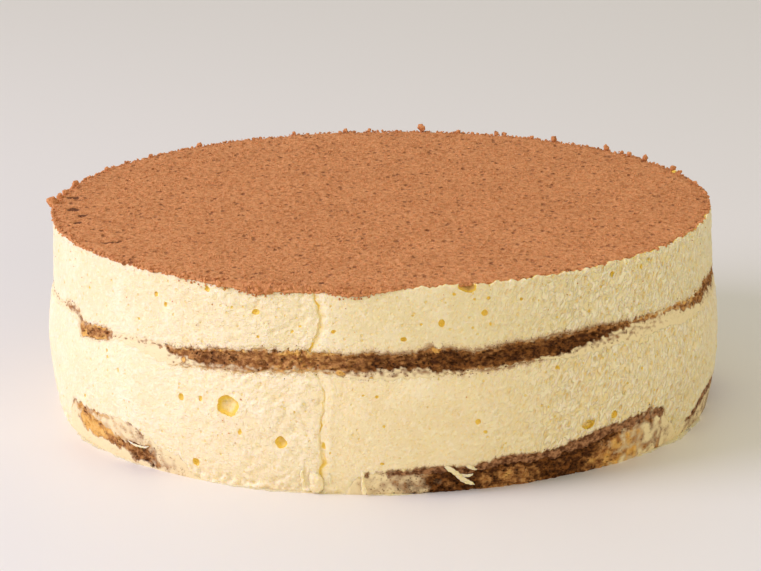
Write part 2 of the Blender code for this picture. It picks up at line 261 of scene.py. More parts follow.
def cylinder(sides, radius, rows):
    """A closed cylinder, one metre high, with its wall cut across into rows of vertices."""
    piece = fresh(bpy.ops.mesh.primitive_cylinder_add, vertices=sides, radius=radius, depth=1)
    bpy.ops.object.mode_set(mode="EDIT")
    bpy.ops.mesh.select_mode(type="EDGE")
    bpy.ops.mesh.select_all(action="DESELECT")
    bpy.ops.object.mode_set(mode="OBJECT")
    for edge in piece.data.edges:
        low, high = (piece.data.vertices[i].co.z for i in edge.vertices)
        edge.select = abs(high - low) > 0.5
    bpy.ops.object.mode_set(mode="EDIT")
    bpy.ops.mesh.subdivide(number_cuts=rows - 2)
    bpy.ops.object.mode_set(mode="OBJECT")
    return piece


def rings_of(ring, rows, crowding=0):
    """A layer's ring at even shares of the way up its wall, closer at both ends by the crowding."""
    shares = [row / rows for row in range(rows + 1)]
    return [functools.partial(ring, s - crowding * math.sin(math.tau * s)) for s in shares]


def rows_of(name, rings):
    """A closed wall of rows, with each row's vertices on its ring: a function that gives the radius
    and height at an angle."""
    piece = cylinder(COLUMNS, 1, len(rings))
    piece.name = name
    for vert in piece.data.vertices:
        even = math.atan2(vert.co.x, -vert.co.y)
        angle = round(math.degrees(even - FRONT_CROWDING * math.sin(even)), 4)
        ring = rings[round((vert.co.z + 0.5) * (len(rings) - 1))]
        radius, height = ring(angle)
        vert.co = place(angle + seam_drift(angle, height), radius, height)
    return piece


def paint(piece, names, rule):
    """Stores the values of rule(angle, radius, height) on every vertex, for the finish to read."""
    rows = []
    for vert in piece.data.vertices:
        angle, radius, height = polar(vert.co)
        rows.append(rule(round(angle - seam_drift(angle, height), 2), radius, height))
    for name, values in zip(names, zip(*rows)):
        piece.data.attributes.new(name, "FLOAT", "POINT").data.foreach_set("value", values)


def soften(piece, sharp_over=50):
    choose(piece)
    bpy.ops.object.shade_smooth_by_angle(angle=math.radians(sharp_over))


class Field:
    """A socket in a finish's nodes, so that finishes can be written as sums of patterns."""

    def __init__(self, finish, socket):
        self.finish = finish
        self.socket = socket

    def math(self, operation, *values):
        return self.finish.node("Math", {"operation": operation}, dict(enumerate(values)))

    def __add__(self, other):
        return self.math("ADD", self, other)

    __radd__ = __add__

    def __sub__(self, other):
        return self.math("SUBTRACT", self, other)

    def __rsub__(self, other):
        return self.math("SUBTRACT", other, self)

    def __mul__(self, other):
        return self.math("MULTIPLY", self, other)

    __rmul__ = __mul__

    def at_least(self, other):
        return self.math("MAXIMUM", self, other)

    def between(self, low, high):
        """0 at low, 1 at high, and smooth between them."""
        settings = {"interpolation_type": "SMOOTHSTEP"}
        return self.finish.node("MapRange", settings, {0: self, 1: low, 2: high})


class Finish:
    """A material being made. node() adds a node of any type and gives one of its outputs."""

    def __init__(self, name):
        self.material = bpy.data.materials.new(name)
        self.material.use_nodes = True
        self.tree = self.material.node_tree
        self.shader = self.tree.nodes["Principled BSDF"]
        self.here = self.node("TexCoord", output="Object")

    def node(self, kind, settings=None, sockets=None, output=0):
        node = self.tree.nodes.new("ShaderNode" + kind)
        for key, value in (settings or {}).items():
            setattr(node, key, value)
        self.fill(node, sockets or {})
        return Field(self, node.outputs[output])

    def fill(self, node, sockets):
        for key, value in sockets.items():
            if isinstance(value, Field):
                self.tree.links.new(value.socket, node.inputs[key])
            else:
                node.inputs[key].default_value = value

    def painted(self, name):
        """A value stored on the piece by paint()."""
        return self.node("Attribute", {"attribute_name": name}, output="Fac")

    def stretched(self, tall, lean=0):
        """Places for a pattern that is tall times as high as wide, and leans over to the right."""
        height = self.node("SeparateXYZ", None, {"Vector": self.here}, "Z")
        about = {"Vector": self.here, "Angle": height * (-lean / FOOT_RADIUS)}
        leant = self.node("VectorRotate", {"rotation_type": "Z_AXIS"}, about) if lean else self.here
        return self.node("Mapping", None, {"Vector": leant, "Scale": (1, 1, 1 / tall)})

    def grain(self, size, detail, at=None, roughness=0.5):
        """Soft noise from 0 to 1, mostly near a half, with features about this size in metres."""
        sockets = {"Vector": at or self.here, "Scale": 1 / size, "Detail": detail}
        return self.node("TexNoise", None, {**sockets, "Roughness": roughness})

    def cells(self, size, at=None):
        """Distance from the middle of the nearest of many cells of this size, in cells."""
        return self.node("TexVoronoi", None, {"Vector": at or self.here, "Scale": 1 / size})

    def mix(self, share, first, second):
        """A colour that passes from the first to the second as share goes from 0 to 1."""
        first, second = (c if isinstance(c, Field) else (*c, 1) for c in (first, second))
        return self.node("Mix", {"data_type": "RGBA"}, {0: share, 6: first, 7: second}, 2)

    def bump(self, height, distance):
        return self.node("Bump", None, {"Height": height, "Distance": distance})

    def wear(self, piece):
        piece.data.materials.clear()
        piece.data.materials.append(self.material)


def soaked_crumb(name):
    """Wet brown sponge crumb with open pores. Painted on it are film (cream wiped over it), pale
    (where little coffee reached), wet (where it is darkest) and crust (its baked brown skin)."""
    finish = Finish(name)
    film, pale, wet, crust = (finish.painted(layer) for layer in SPONGE_LAYERS)
    layered = finish.stretched(0.7)
    crumbs = finish.grain(2.0 * MM, 4, layered, 0.6)
    fine = finish.grain(0.5 * MM, 3)
    lumps = finish.grain(3.6 * MM, 2)
    patches = finish.grain(1.0 * MM, 3, roughness=0.6)
    pores = finish.cells(1.4 * MM, layered).between(0.42, 0.1) * lumps.between(0.4, 0.58)
    # Crumb from dry tan to soaked dark brown, and the baked skin.
    brown = finish.mix(crumbs.between(0.36, 0.66), (0.15, 0.052, 0.012), (0.43, 0.20, 0.058))
    dark = finish.mix(crumbs.between(0.38, 0.68), (0.05, 0.014, 0.002), (0.21, 0.074, 0.014))
    light_brown = finish.mix(crumbs.between(0.4, 0.62), (0.33, 0.125, 0.030), (0.60, 0.31, 0.095))
    tan = finish.mix(crumbs.between(0.35, 0.65), (0.68, 0.35, 0.072), (0.78, 0.47, 0.13))
    tan = finish.mix(pale.between(0.5, 0.95), light_brown, tan)
    baked = finish.mix(crumbs.between(0.38, 0.62), (0.12, 0.043, 0.014), (0.41, 0.20, 0.085))
    colour = finish.mix((wet * 1.3 + lumps - 0.9).between(0.0, 0.7), brown, dark)
    colour = finish.mix((pale * 1.3 + patches * 0.8 - 0.55).between(0.0, 1.0), colour, tan)
    colour = finish.mix((crust * 1.3 + patches - 0.7).between(0.0, 0.7), colour, baked)
    # Painted shade: the open pores are darkened to near black.
    pore_shade = pores * (0.85 - 0.4 * crust) * pale.between(1.0, 0.3)
    colour = finish.mix(pore_shade, colour, (0.030, 0.010, 0.002))
    # Cream wiped over it, which leaves the deepest crumb bare in dots.
    dots = finish.cells(0.95 * MM).between(0.42, 0.18) * finish.grain(3 * MM, 1).between(0.36, 0.5)
    dots = dots * film.between(1.2, 0.9)
    cover = (film * 1.4 + patches - 0.95).between(0.0, 0.9) * (1 - 0.75 * dots)
    veil = finish.mix(film.between(0.65, 1.15), (0.55, 0.40, 0.22), (0.82, 0.67, 0.36))
    colour = finish.mix(cover, colour, veil)
    relief = crumbs * 0.7 + fine * 0.4 - pores * 0.8
    finish.fill(finish.shader, {
        "Base Color": colour,
        "Roughness": 0.65 - 0.1 * wet + 0.1 * fine,
        "Specular IOR Level": 0.08,
        "Normal": finish.bump(relief * (1 - 0.6 * cover), 0.6 * MM),
        "Subsurface Weight": 0.08,
        "Subsurface Radius": (1.0, 0.5, 0.25),
        "Subsurface Scale": 0.8 * MM,
    })
    return finish


def crumbly(angle, height, seed):
    """How far the crumb of a sponge's edge stands in or out, with torn holes in it. Its layers lie
    flat."""
    lumps = rough(angle, height, 0.7 * MM, 2.6 * MM, seed, 0.6)
    lumps += rough(angle, height, 0.5 * MM, 1.2 * MM, seed + 1, 0.7)
    holes = step(0.12, 0.5, rough(angle, height, 1, 1.9 * MM, seed + 2, 0.6))
    return lumps - 0.8 * MM * holes


def base_recess(angle, height, film):
    """How far the base sponge lies inside the wall: least under a film of cream, a little where it
    is bare, and more where the lower cream covers it."""
    covered = step(-0.1 * MM, 1.5 * MM, off_edge(cream_foot, angle, height))
    return (0.2 - 0.15 * step(0.7, 1.1, film) + 3.0 * covered) * MM


def base_ring(share, angle):
    height = share * base_top(angle)
    film, pale, wet, crust = base_zones(angle, height)
    near_cream = fades(off_edge(cream_foot, angle, height), 0.7 * MM)
    bare = (1 - step(0.3, 0.8, film)) * (1 - 0.7 * near_cream)
    sunk = bare * (0.5 - 0.4 * crust + 0.5 * max(0, wet - crust) - 0.45 * pale) * MM
    relief = crumbly(angle, height, 20) * (0.1 + 0.9 * bare * (1 - 0.5 * crust) * (1 - 0.6 * pale))
    return wall(angle, height) - base_recess(angle, height, film) - sunk + relief, height


base = rows_of(
    "base_sponge_edge",
    [
        lambda a: (FOOT_RADIUS - EDGE_TAPER, 0),
        *rings_of(base_ring, BASE_ROWS),
        lambda a: (wall(a, base_top(a)) - 5.6 * MM, base_top(a)),
        lambda a: (FOOT_RADIUS - EDGE_TAPER, BASE_HEIGHT),
    ],
)


def base_paint(angle, radius, height):
    """The zones broken up in patches, with cream clinging under the torn foot, and a film on the
    right that lets the crumb through."""
    film, pale, wet, crust = base_zones(angle, height)
    film += rough(angle, height, 0.35, 2.4 * MM, 31) + rough(angle, height, 0.25, 9 * MM, 32)
    film += 0.5 * fades(off_edge(cream_foot, angle, height), 0.5 * MM)
    let_through = step(0.25, 0.6, film) * span(angle, 38, 42, 53, 56)
    film += rough(angle, height, 0.9, 3.2 * MM, 35) * let_through
    pale += rough(angle, height, 0.5, 3.6 * MM, 33) * step(0.05, 0.3, pale) * (1 - step(0.8, 1, pale))
    wet += rough(angle, height, 0.5, 3 * MM, 34)
    return film, pale, wet, crust


def dress_sponge(piece, rule):
    paint(piece, SPONGE_LAYERS, rule)
    soften(piece)
    sponge_finish.wear(piece)
    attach(piece, "root")


sponge_finish = soaked_crumb("soaked_sponge_crumb")
dress_sponge(base, base_paint)
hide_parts("base_sponge")


# ---------------------------------------------------------------- lower cream
# Deep mascarpone cream spread on the base sponge inside the ring. The lining strip left it smooth
# on the right of the front and torn and fluffy on the left, with burst air bubbles in both.
# Its wall gets fine relief by rule, and the bubbles are cut out of it by Boolean.

GAP = 0.3 * MM
MIDDLE_THICKNESS = 8 * MM
EDGE_TUCK = 3.5 * MM  # how far the creams reach in at the middle sponge's torn edges
LOWER_ROWS = 62
ROW_CROWDING = 0.06  # rows stand closer at the wall's two edges, where it turns in
# Angle, how torn and fluffy the wall is, and how streaked and porous it is, each 0 to 1.
CREAM_LOOK = (
    (-180, 0.3, 0.3), (-140, 0.7, 0.1), (-100, 0.5, 0.0), (-75, 0.4, 0.0), (-45, 0.55, 0.0),
    (-28, 0.9, 0.0), (-10.5, 1.0, 0.0), (-9.2, 0.1, 0.0), (12, 0.1, 0.1), (20, 0.15, 0.45), (32, 0.2, 1.0),
    (60, 0.2, 1.0), (78, 0.25, 0.7), (110, 0.4, 0.5), (150, 0.3, 0.4),
)
# Burst bubbles: angle, height, width and height of the hollow, in millimetres.
LOWER_BUBBLES = (
    (-25.4, 29.6, 9.0, 8.4), (-16.6, 18.4, 4.6, 4.8), (-34.2, 30.1, 2.8, 2.8), (-30.5, 30.9, 2.3, 2.4),
    (-23.5, 20.9, 2.2, 3.0), (-48.8, 33.7, 2.0, 3.2), (-51.6, 32.2, 1.5, 1.6), (-51.7, 37.1, 1.6, 1.6),
    (-32.2, 6.8, 3.3, 3.4), (-1.1, 35.9, 1.7, 1.5), (-3.3, 36.3, 1.5, 1.1), (14.8, 25.5, 2.3, 2.5),
    (16.0, 21.7, 1.9, 1.8), (-0.4, 11.9, 1.7, 1.2), (28.8, 40.8, 2.2, 2.2), (35.1, 30.7, 1.8, 1.8),
    (34.6, 18.3, 6.0, 3.2), (40.0, 19.7, 2.9, 3.3), (46.5, 33.4, 1.8, 2.2), (-12.3, 25.0, 1.3, 1.2),
    (-8.6, 15.5, 1.0, 1.3), (-9.7, 18.0, 2.1, 3.4), (-20.5, 9.4, 1.4, 1.3), (-5.2, 32.9, 1.4, 1.3),
    (4.2, 23.5, 1.3, 1.2), (5.5, 20.0, 1.3, 1.4), (-3.8, 16.5, 1.3, 1.1), (22.7, 30.0, 1.4, 1.4),
    (-9.4, 35.2, 0.9, 2.4), (-9.2, 39.4, 0.8, 1.8),
)
SEAM_VALLEY = 0.34 * MM
SEAM_RIDGE = 0.2 * MM
RIDGE_ASIDE = 3.2  # millimetres to the right of the seam
RIDGE_WIDE = 1.2
SEAM_WIDE = 9  # both have run out by here
LIP = 0.22 * MM  # how far the wall has turned in where it ends at a torn edge or the rim


def seam_relief(angle, height):
    """Beside the seam a valley runs down the wall, with a low ridge to the right of it."""
    right = math.radians(angle - SEAM_ANGLE) * UPPER_RADIUS / MM
    if right < 0 or right > SEAM_WIDE:
        return 0
    valley = right / (along_seam(height, 2) * (1.25 + rough(0, height, 1.0, 2.4 * MM, 19)))
    ridge = (right - RIDGE_ASIDE) / RIDGE_WIDE
    return SEAM_RIDGE * math.exp(-ridge * ridge) - SEAM_VALLEY * math.exp(-(valley**4))


def cream_relief(angle, height):
    """Fine relief of the cream's wall: soft dents where it tore, with drawn-out streaks left of the
    seam, leaning runs where it stretched, and a slight unevenness all over."""
    torn = eased(CREAM_LOOK, angle, 1)
    streaked = eased(CREAM_LOOK, angle, 2)
    dents = step(-0.05, 0.55, rough(angle, height, 1, 2.8 * MM, 40, 0.75, 0.4))
    tears = step(0.0, 0.6, rough(angle, height, 1, 1.4 * MM, 41, 0.8, 0.3))
    relief = -torn * (0.3 * MM * dents + 0.22 * MM * tears)
    relief += torn * rough(angle, height, 0.28 * MM, 6 * MM, 42)
    drawn_out = math.exp(-(((angle + 16) / 6) ** 2)) * (1 - step(42 * MM, 52 * MM, height))
    relief += drawn_out * rough(angle, height, 0.35 * MM, 1.5 * MM, 47, 3.5, 1.3)
    runs = rough(angle, height, 1, 1.5 * MM, 43, 1.7, 0.3)
    holes = step(0.15, 0.55, rough(angle, height, 1, 1.8 * MM, 48, 1.5, 0.3))
    relief += streaked * (0.42 * MM * runs - 0.1 * MM * tears - 0.45 * MM * holes)
    relief += rough(angle, height, 0.09 * MM, 1.6 * MM, 44) + rough(angle, height, 0.2 * MM, 12 * MM, 49)
    return relief + seam_relief(angle, height)


def ragged_foot(angle, height):
    """The lowest few millimetres of cream are rough where they broke away from the strip."""
    low = 1 - step(2 * MM, 7 * MM, height)
    return low * (rough(angle, height, 0.9 * MM, 2 * MM, 45) - 0.3 * MM)


# The middle sponge, which both creams end at. Round the cake: angle, then heights in millimetres
# of its torn foot, from where a film of cream is wiped up over it, of the foot of its bare crumb,
# and of its top.
MIDDLE_EDGE = (
    (-180, 43.5, 44.5, 50), (-160, 44, 45.5, 49), (-145, 43, 46.3, 48.3), (-130, 42.5, 43.5, 48.8),
    (-112, 43, 44, 47.5), (-95, 43.8, 45.5, 47), (-82, 44.8, 46, 47.4), (-72, 45.6, 46.2, 47.6),
    (-67, 45.9, 46.4, 49.4), (-62.7, 45, 45.4, 49.6), (-60.7, 39.6, 39.8, 45.6), (-56, 40.6, 41, 46.2),
    (-52.8, 42.2, 42.4, 46.5), (-49.5, 44.2, 44.8, 46.3), (-45.7, 43.6, 45.6, 47.3),
    (-42, 42.4, 46.3, 47.6), (-38.5, 41.2, 45.9, 47.1), (-35.5, 40.2, 44.6, 47.1), (-32, 41.1, 43.7, 47.5),
    (-27.5, 41.5, 43.4, 48.8), (-23.5, 41.5, 44.2, 49), (-20, 42.1, 44.4, 50.3), (-16, 42.6, 44.5, 50.3),
    (-13, 43, 45, 51.3), (-9, 43.3, 45.2, 50.2), (-6, 42.2, 44.2, 50.2), (-2, 42, 45, 50.9),
    (1.5, 41.7, 45.4, 50.3), (4.5, 41.9, 45.6, 50.1), (7.2, 42, 45, 52.2), (9, 42.1, 44.2, 51.6),
    (11.5, 42.2, 43.4, 50.7), (14, 43.5, 43.6, 49.6), (18, 43.4, 43.6, 50.5), (23, 43.8, 44.2, 51.4),
    (27, 44.4, 45.2, 51.3), (31, 43.8, 46, 52.1), (35, 43.6, 47.5, 52.1), (38.3, 44, 47.6, 51.9),
    (42, 44.5, 48.9, 51.4), (45, 43.8, 49.5, 50.6), (50, 44.6, 49.4, 51), (55, 44.4, 49.5, 50.9),
    (59, 43, 47.8, 51.2), (63.5, 43.3, 46.1, 50.2), (68, 43.1, 45.6, 50.3), (72, 43.5, 47.8, 52),
    (80, 43.5, 47, 51.2), (92, 44.5, 46, 50), (108, 45.2, 46.2, 48.4), (132, 43.5, 44.5, 50.2),
    (155, 43.4, 44, 50.4),
)


def torn_edge(angle, seed):
    """How far a sponge's torn edge strays up or down."""
    strays = rough(angle, 40 * MM, 1.0 * MM, 2.2 * MM, seed)
    return strays + rough(angle, 40 * MM, 0.35 * MM, 0.9 * MM, seed + 1)


@functools.cache
def middle_foot(angle):
    return eased(MIDDLE_EDGE, angle, 1) * MM + torn_edge(angle, 46)


@functools.cache
def middle_top(angle):
    return eased(MIDDLE_EDGE, angle, 3) * MM + torn_edge(angle, 70)


# Angle, cream film on the band's lower part, paleness and wetness, as for the base sponge.
MIDDLE_LOOK = (
    (-180, 0.8, 0.3, 0.6), (-140, 0.9, 0.3, 0.3), (-100, 0.7, 0.3, 0.7), (-80, 1.3, 0.4, 0.1),
    (-69, 1.3, 0.4, 0.1), (-67, 1.2, 0.4, 0.2), (-63, 1.3, 0.4, 0.1), (-61.3, 1.1, 0.6, 0.1),
    (-58.5, 1.0, 0.6, 0), (-56.5, 0.9, 0.5, 0), (-53, 1.0, 0.5, 0.1), (-50.5, 1.3, 0.4, 0.1),
    (-46, 1.5, 0.4, 0.1), (-39, 1.3, 0.4, 0.2), (-35, 0.95, 0.4, 0.3), (-28, 0.65, 0.3, 0.7),
    (-25, 0.7, 0.4, 0.4), (-20, 0.55, 0.4, 0.5), (-15, 0.6, 0.6, 0.1), (-9, 0.6, 0.5, 0.2),
    (-5, 0.65, 0.3, 0.7), (0, 0.78, 0.1, 0.8), (7, 0.78, 0.1, 0.8), (11, 0.5, 0.1, 1), (22, 0.3, 0.1, 0.9),
    (30, 0.8, 0, 1), (38, 0.85, 0, 0.9), (45, 0.92, 0.3, 0.6), (50, 1.0, 0.5, 0.2), (58, 1.1, 0.6, 0.1),
    (64, 1.15, 0.6, 0.1), (72, 0.9, 0.3, 0.5), (110, 0.8, 0.3, 0.4), (150, 0.6, 0.2, 0.7),
)
# Dry tan spots in it: angle, height and width in millimetres.
TAN_SPOTS = ((-59.6, 42, 3.4), (8.4, 51.6, 3.6), (-6.4, 42.8, 2.4), (-2, 42, 1.6), (-34, 43.4, 1.6))


def middle_zones(angle, height):
    """Cream film, paleness, wetness and crust at a place on the middle sponge. It has no crust."""
    crooked = height + rough(angle, height, 1.3 * MM, 3 * MM, 52)
    crooked += rough(angle, height, 0.9 * MM, 1.2 * MM, 53)
    aside = round(angle + rough(angle, height, 1.6, 2.5 * MM, 54), 1)
    film, pale, wet = (eased(MIDDLE_LOOK, aside, i) for i in (1, 2, 3))
    bare_from = eased(MIDDLE_EDGE, angle, 2) * MM
    bare = step(bare_from - 0.5 * MM, bare_from + 0.5 * MM, crooked)
    film = film * (1 - bare) + 1.5 * max(0, film - 0.9) * bare
    for spot_angle, spot_height, wide in TAN_SPOTS:
        off = math.hypot(math.radians(angle - spot_angle) * UPPER_RADIUS, crooked - spot_height * MM)
        spot = 1 - step(0.3 * wide * MM, 0.6 * wide * MM, off)
        pale = max(pale, 1.3 * spot)
        wet *= 1 - spot
        film *= 1 - spot
    # A dry pale skin lies along its foot, left of the middle.
    skin = 1 - step(0.2 * MM, 0.9 * MM, abs(height - middle_foot(angle) - 0.5 * MM))
    skin *= 0.5 * span(angle, -42, -32, -10, -4)
    return film * (1 - skin), max(pale, 1.1 * skin), wet * (1 - skin), 0


@functools.cache
def soiled(edge, angle):
    """How much the sponge beside this torn edge soils the cream there, from 0 to 1."""
    if edge is cream_foot:
        film, pale, wet, crust = base_zones(angle, edge(angle) - 0.5 * MM)
    else:
        inside = 0.6 * MM if edge is middle_foot else -0.5 * MM
        film, pale, wet, crust = middle_zones(angle, edge(angle) + inside)
    return max(0, 1 - 0.9 * film) * (0.6 + 0.4 * max(wet, crust)) * (1 - 0.4 * pale)


def lip(edge, angle, height):
    """How far the cream's wall has turned in near a torn edge: less where a film runs across."""
    return rounded(abs(height - edge(angle)), LIP * (0.3 + 0.7 * soiled(edge, angle)))


def rounded(distance, radius):
    """How far a rounded edge has turned in, at this distance from the edge."""
    away = min(radius, max(0, radius - distance))
    return radius - math.sqrt(radius * radius - away * away)


def lower_ring(share, angle):
    low = cream_foot(angle)
    high = middle_foot(angle)
    height = low + share * (high - low)
    radius = wall(angle, height) + cream_relief(angle, height) + ragged_foot(angle, height)
    radius -= lip(middle_foot, angle, height)
    if low > 1 * MM:
        radius -= lip(cream_foot, angle, height)
    return radius, height


def lower_under(angle):
    """Radius at the cream's foot of its hidden inner side: near the wall where the foot is torn."""
    return wall(angle, cream_foot(angle)) - (2.9 - 2.5 * step(0, 3 * MM, cream_foot(angle))) * MM


lower = rows_of(
    "lower_cream_wall",
    [
        lambda a: (FOOT_RADIUS - EDGE_TAPER, BASE_HEIGHT + GAP),
        lambda a: (lower_under(a) - 1.2 * MM, base_top(a) + GAP),
        lambda a: (lower_under(a), cream_foot(a)),
        *rings_of(lower_ring, LOWER_ROWS, ROW_CROWDING),
        lambda a: (wall(a, 40 * MM) - EDGE_TUCK, middle_foot(a)),
        lambda a: (FOOT_RADIUS - EDGE_TAPER, MIDDLE_HEIGHT - MIDDLE_THICKNESS / 2 - GAP),
    ],
)

SPARE_BUBBLES = 90  # small ones round each cream
HUGE_BUBBLE = 6


def joined(pieces):
    """Many pieces made one."""
    choose(*pieces)
    bpy.ops.object.join()
    return pieces[0]


def modified(piece, kind, **settings):
    """Puts a modifier on a piece and applies it."""
    modifier = piece.modifiers.new(kind.lower(), kind)
    for name, value in settings.items():
        setattr(modifier, name, value)
    choose(piece)
    bpy.ops.object.modifier_apply(modifier=modifier.name)


def apart(one, other):
    """Whether two bubbles lie clear of each other. Hollows that meet would leave cream between."""
    across = math.radians(one[0] - other[0]) * FOOT_RADIUS / MM
    return math.hypot(across, one[1] - other[1]) > 0.65 * (max(one[2:]) + max(other[2:]))


def burst(piece, bubbles, low, high, rng):
    """Cuts the listed bubbles out of a cream's wall, and small ones at random places between two
    heights. A small bubble's middle lies farther out past the wall, so that it is shallow."""
    everywhere = list(bubbles)
    for i in range(SPARE_BUBBLES):
        angle = -180 + 360 * (i + rng.random()) / SPARE_BUBBLES
        wide = 0.8 + 1.0 * rng.random() ** 2
        bubble = (angle, rng.uniform(low, high), wide, wide * rng.uniform(0.9, 1.4))
        if all(apart(bubble, other) for other in everywhere):
            everywhere.append(bubble)
    hollows = []
    for angle, height, wide, tall in everywhere:
        fineness = 2 + (wide > 1.6) + (wide > HUGE_BUBBLE)
        hollow = fresh(bpy.ops.mesh.primitive_ico_sphere_add, subdivisions=fineness, radius=0.5)
        out = 0.2
        if wide < 1.5:
            out = 0.28
        elif 2.5 <= wide <= HUGE_BUBBLE:
            out = 0.12
        centre = place(angle, wall(angle, height * MM) + out * wide * MM, height * MM)
        turn = Quaternion((0, 0, 1), math.radians(angle))
        for vert in hollow.data.vertices:
            lump = 1 + 0.2 * noise.noise(vert.co * 2.2 + centre * 900)
            lump += 0.06 * noise.noise(vert.co * wide * 1.4 + centre * 700)
            size = Vector((wide, wide * 0.95, tall)) * MM * lump
            vert.co = centre + turn @ Vector(a * b for a, b in zip(vert.co, size))
        hollows.append(hollow)
    cutter = joined(hollows)
    modified(piece, "BOOLEAN", operation="DIFFERENCE", solver="MANIFOLD", object=cutter)
    bpy.data.objects.remove(cutter)


# Round the upper cream's rim: angle, then in millimetres how far the cream's edge rises over its
# level, and how far the cocoa stands out past the wall.
RIM = (
    (-180, 0.6, -0.1), (-100, 0.8, 0.1), (-92, 0.9, 0.2), (-75, 0.9, 0.1), (-45, 0.6, 0), (-33, 0.4, 0.1),
    (-28, 0.1, 0.3), (-24, -0.6, 0.4), (-20.7, -1.5, 0.5), (-17.5, -0.5, 0.3), (-8.5, -0.3, 0.3),
    (-5.6, -1.0, 0.4), (-3, -0.7, 0.4), (-0.8, 0.2, 0.2), (2.3, 0.8, -0.2), (7, 1.3, -0.8),
    (10.3, 1.8, -1.3), (15.5, 1.2, -1.3), (18.5, 1.5, -1.2), (36, 1.5, -1.4), (44, 1.6, -1.9),
    (58, 1.5, -1.8), (75, 1.3, -1.1), (92, 0.8, -0.3), (108.5, 0.9, -0.2), (111, 1.8, -0.7),
    (113.5, 0.7, -0.2), (150, 0.6, -0.1),
)


@functools.cache
def cream_rim(angle):
    """Height of the cream's rim, which is bumpy where it stands up past the cocoa."""
    lift = eased(RIM, angle, 1)
    past_cocoa = step(0.9, 1.3, lift)
    bumps = rough(angle, 70 * MM, 0.35 + 0.5 * past_cocoa, 2.6 * MM, 72)
    bumps += rough(angle, 70 * MM, 0.2 + 0.4 * past_cocoa, 1.2 * MM, 73)
    return CREAM_TOP + (lift + bumps) * MM


def cream_paint(angle, radius, height):
    """What the cream's finish reads: how far a place lies under the wall's even surface and how far down
    in a bubble, in millimetres, how much the sponges stain it, how much cocoa clings to it under the rim
    with painted shade in the hollows there, and how torn and streaked it is."""
    edges = [middle_foot(angle), middle_top(angle), cream_rim(angle)]
    stain = soiled(middle_foot, angle) * fades(off_edge(middle_foot, angle, height), 1.0 * MM)
    stain = max(stain, soiled(middle_top, angle) * fades(off_edge(middle_top, angle, height), 1.3 * MM))
    if cream_foot(angle) > 0:
        edges.append(cream_foot(angle))
        over_foot = max(0, off_edge(cream_foot, angle, height))
        stain = max(stain, soiled(cream_foot, angle) * fades(over_foot, 0.7 * MM))
    nearest = min(abs(height - edge) for edge in edges)
    sunk = (wall(angle, height) - radius - rounded(nearest, LIP)) / MM
    sunk = sunk if sunk < 5 else 0
    relief = (cream_relief(angle, height) + ragged_foot(angle, height)) / MM
    hollow = max(0, sunk + relief - 0.06) * step(0.05 * MM, 0.3 * MM, nearest)
    under_rim = cream_rim(angle) - height
    dusted_and_shaded = fades(under_rim, 0.55 * MM) * (1 - 0.8 * step(0.9, 1.3, eased(RIM, angle, 1)))
    # Painted shade: the hollows near the rim, mostly the notch, get this value as well as the cocoa.
    dusted_and_shaded = max(dusted_and_shaded, step(0.3, 1.0, hollow) * fades(under_rim, 8 * MM))
    sunk *= step(1 * MM, 7 * MM, height)
    # Painted glow: the seam's valley is counted as a hollow, so the finish yellows it, though it is
    # shallow.
    valley = max(0, -seam_relief(angle, height)) / SEAM_VALLEY
    hollow += valley * max(0, 0.08 + rough(angle, height, 0.6, 3.4 * MM, 51, 1.5))
    sunk += 0.4 * valley
    return sunk, hollow, stain, dusted_and_shaded, eased(CREAM_LOOK, angle, 1), eased(CREAM_LOOK, angle, 2)


CREAM_LAYERS = ("sunk", "hollow", "stain", "dusted_and_shaded", "torn", "streaked")


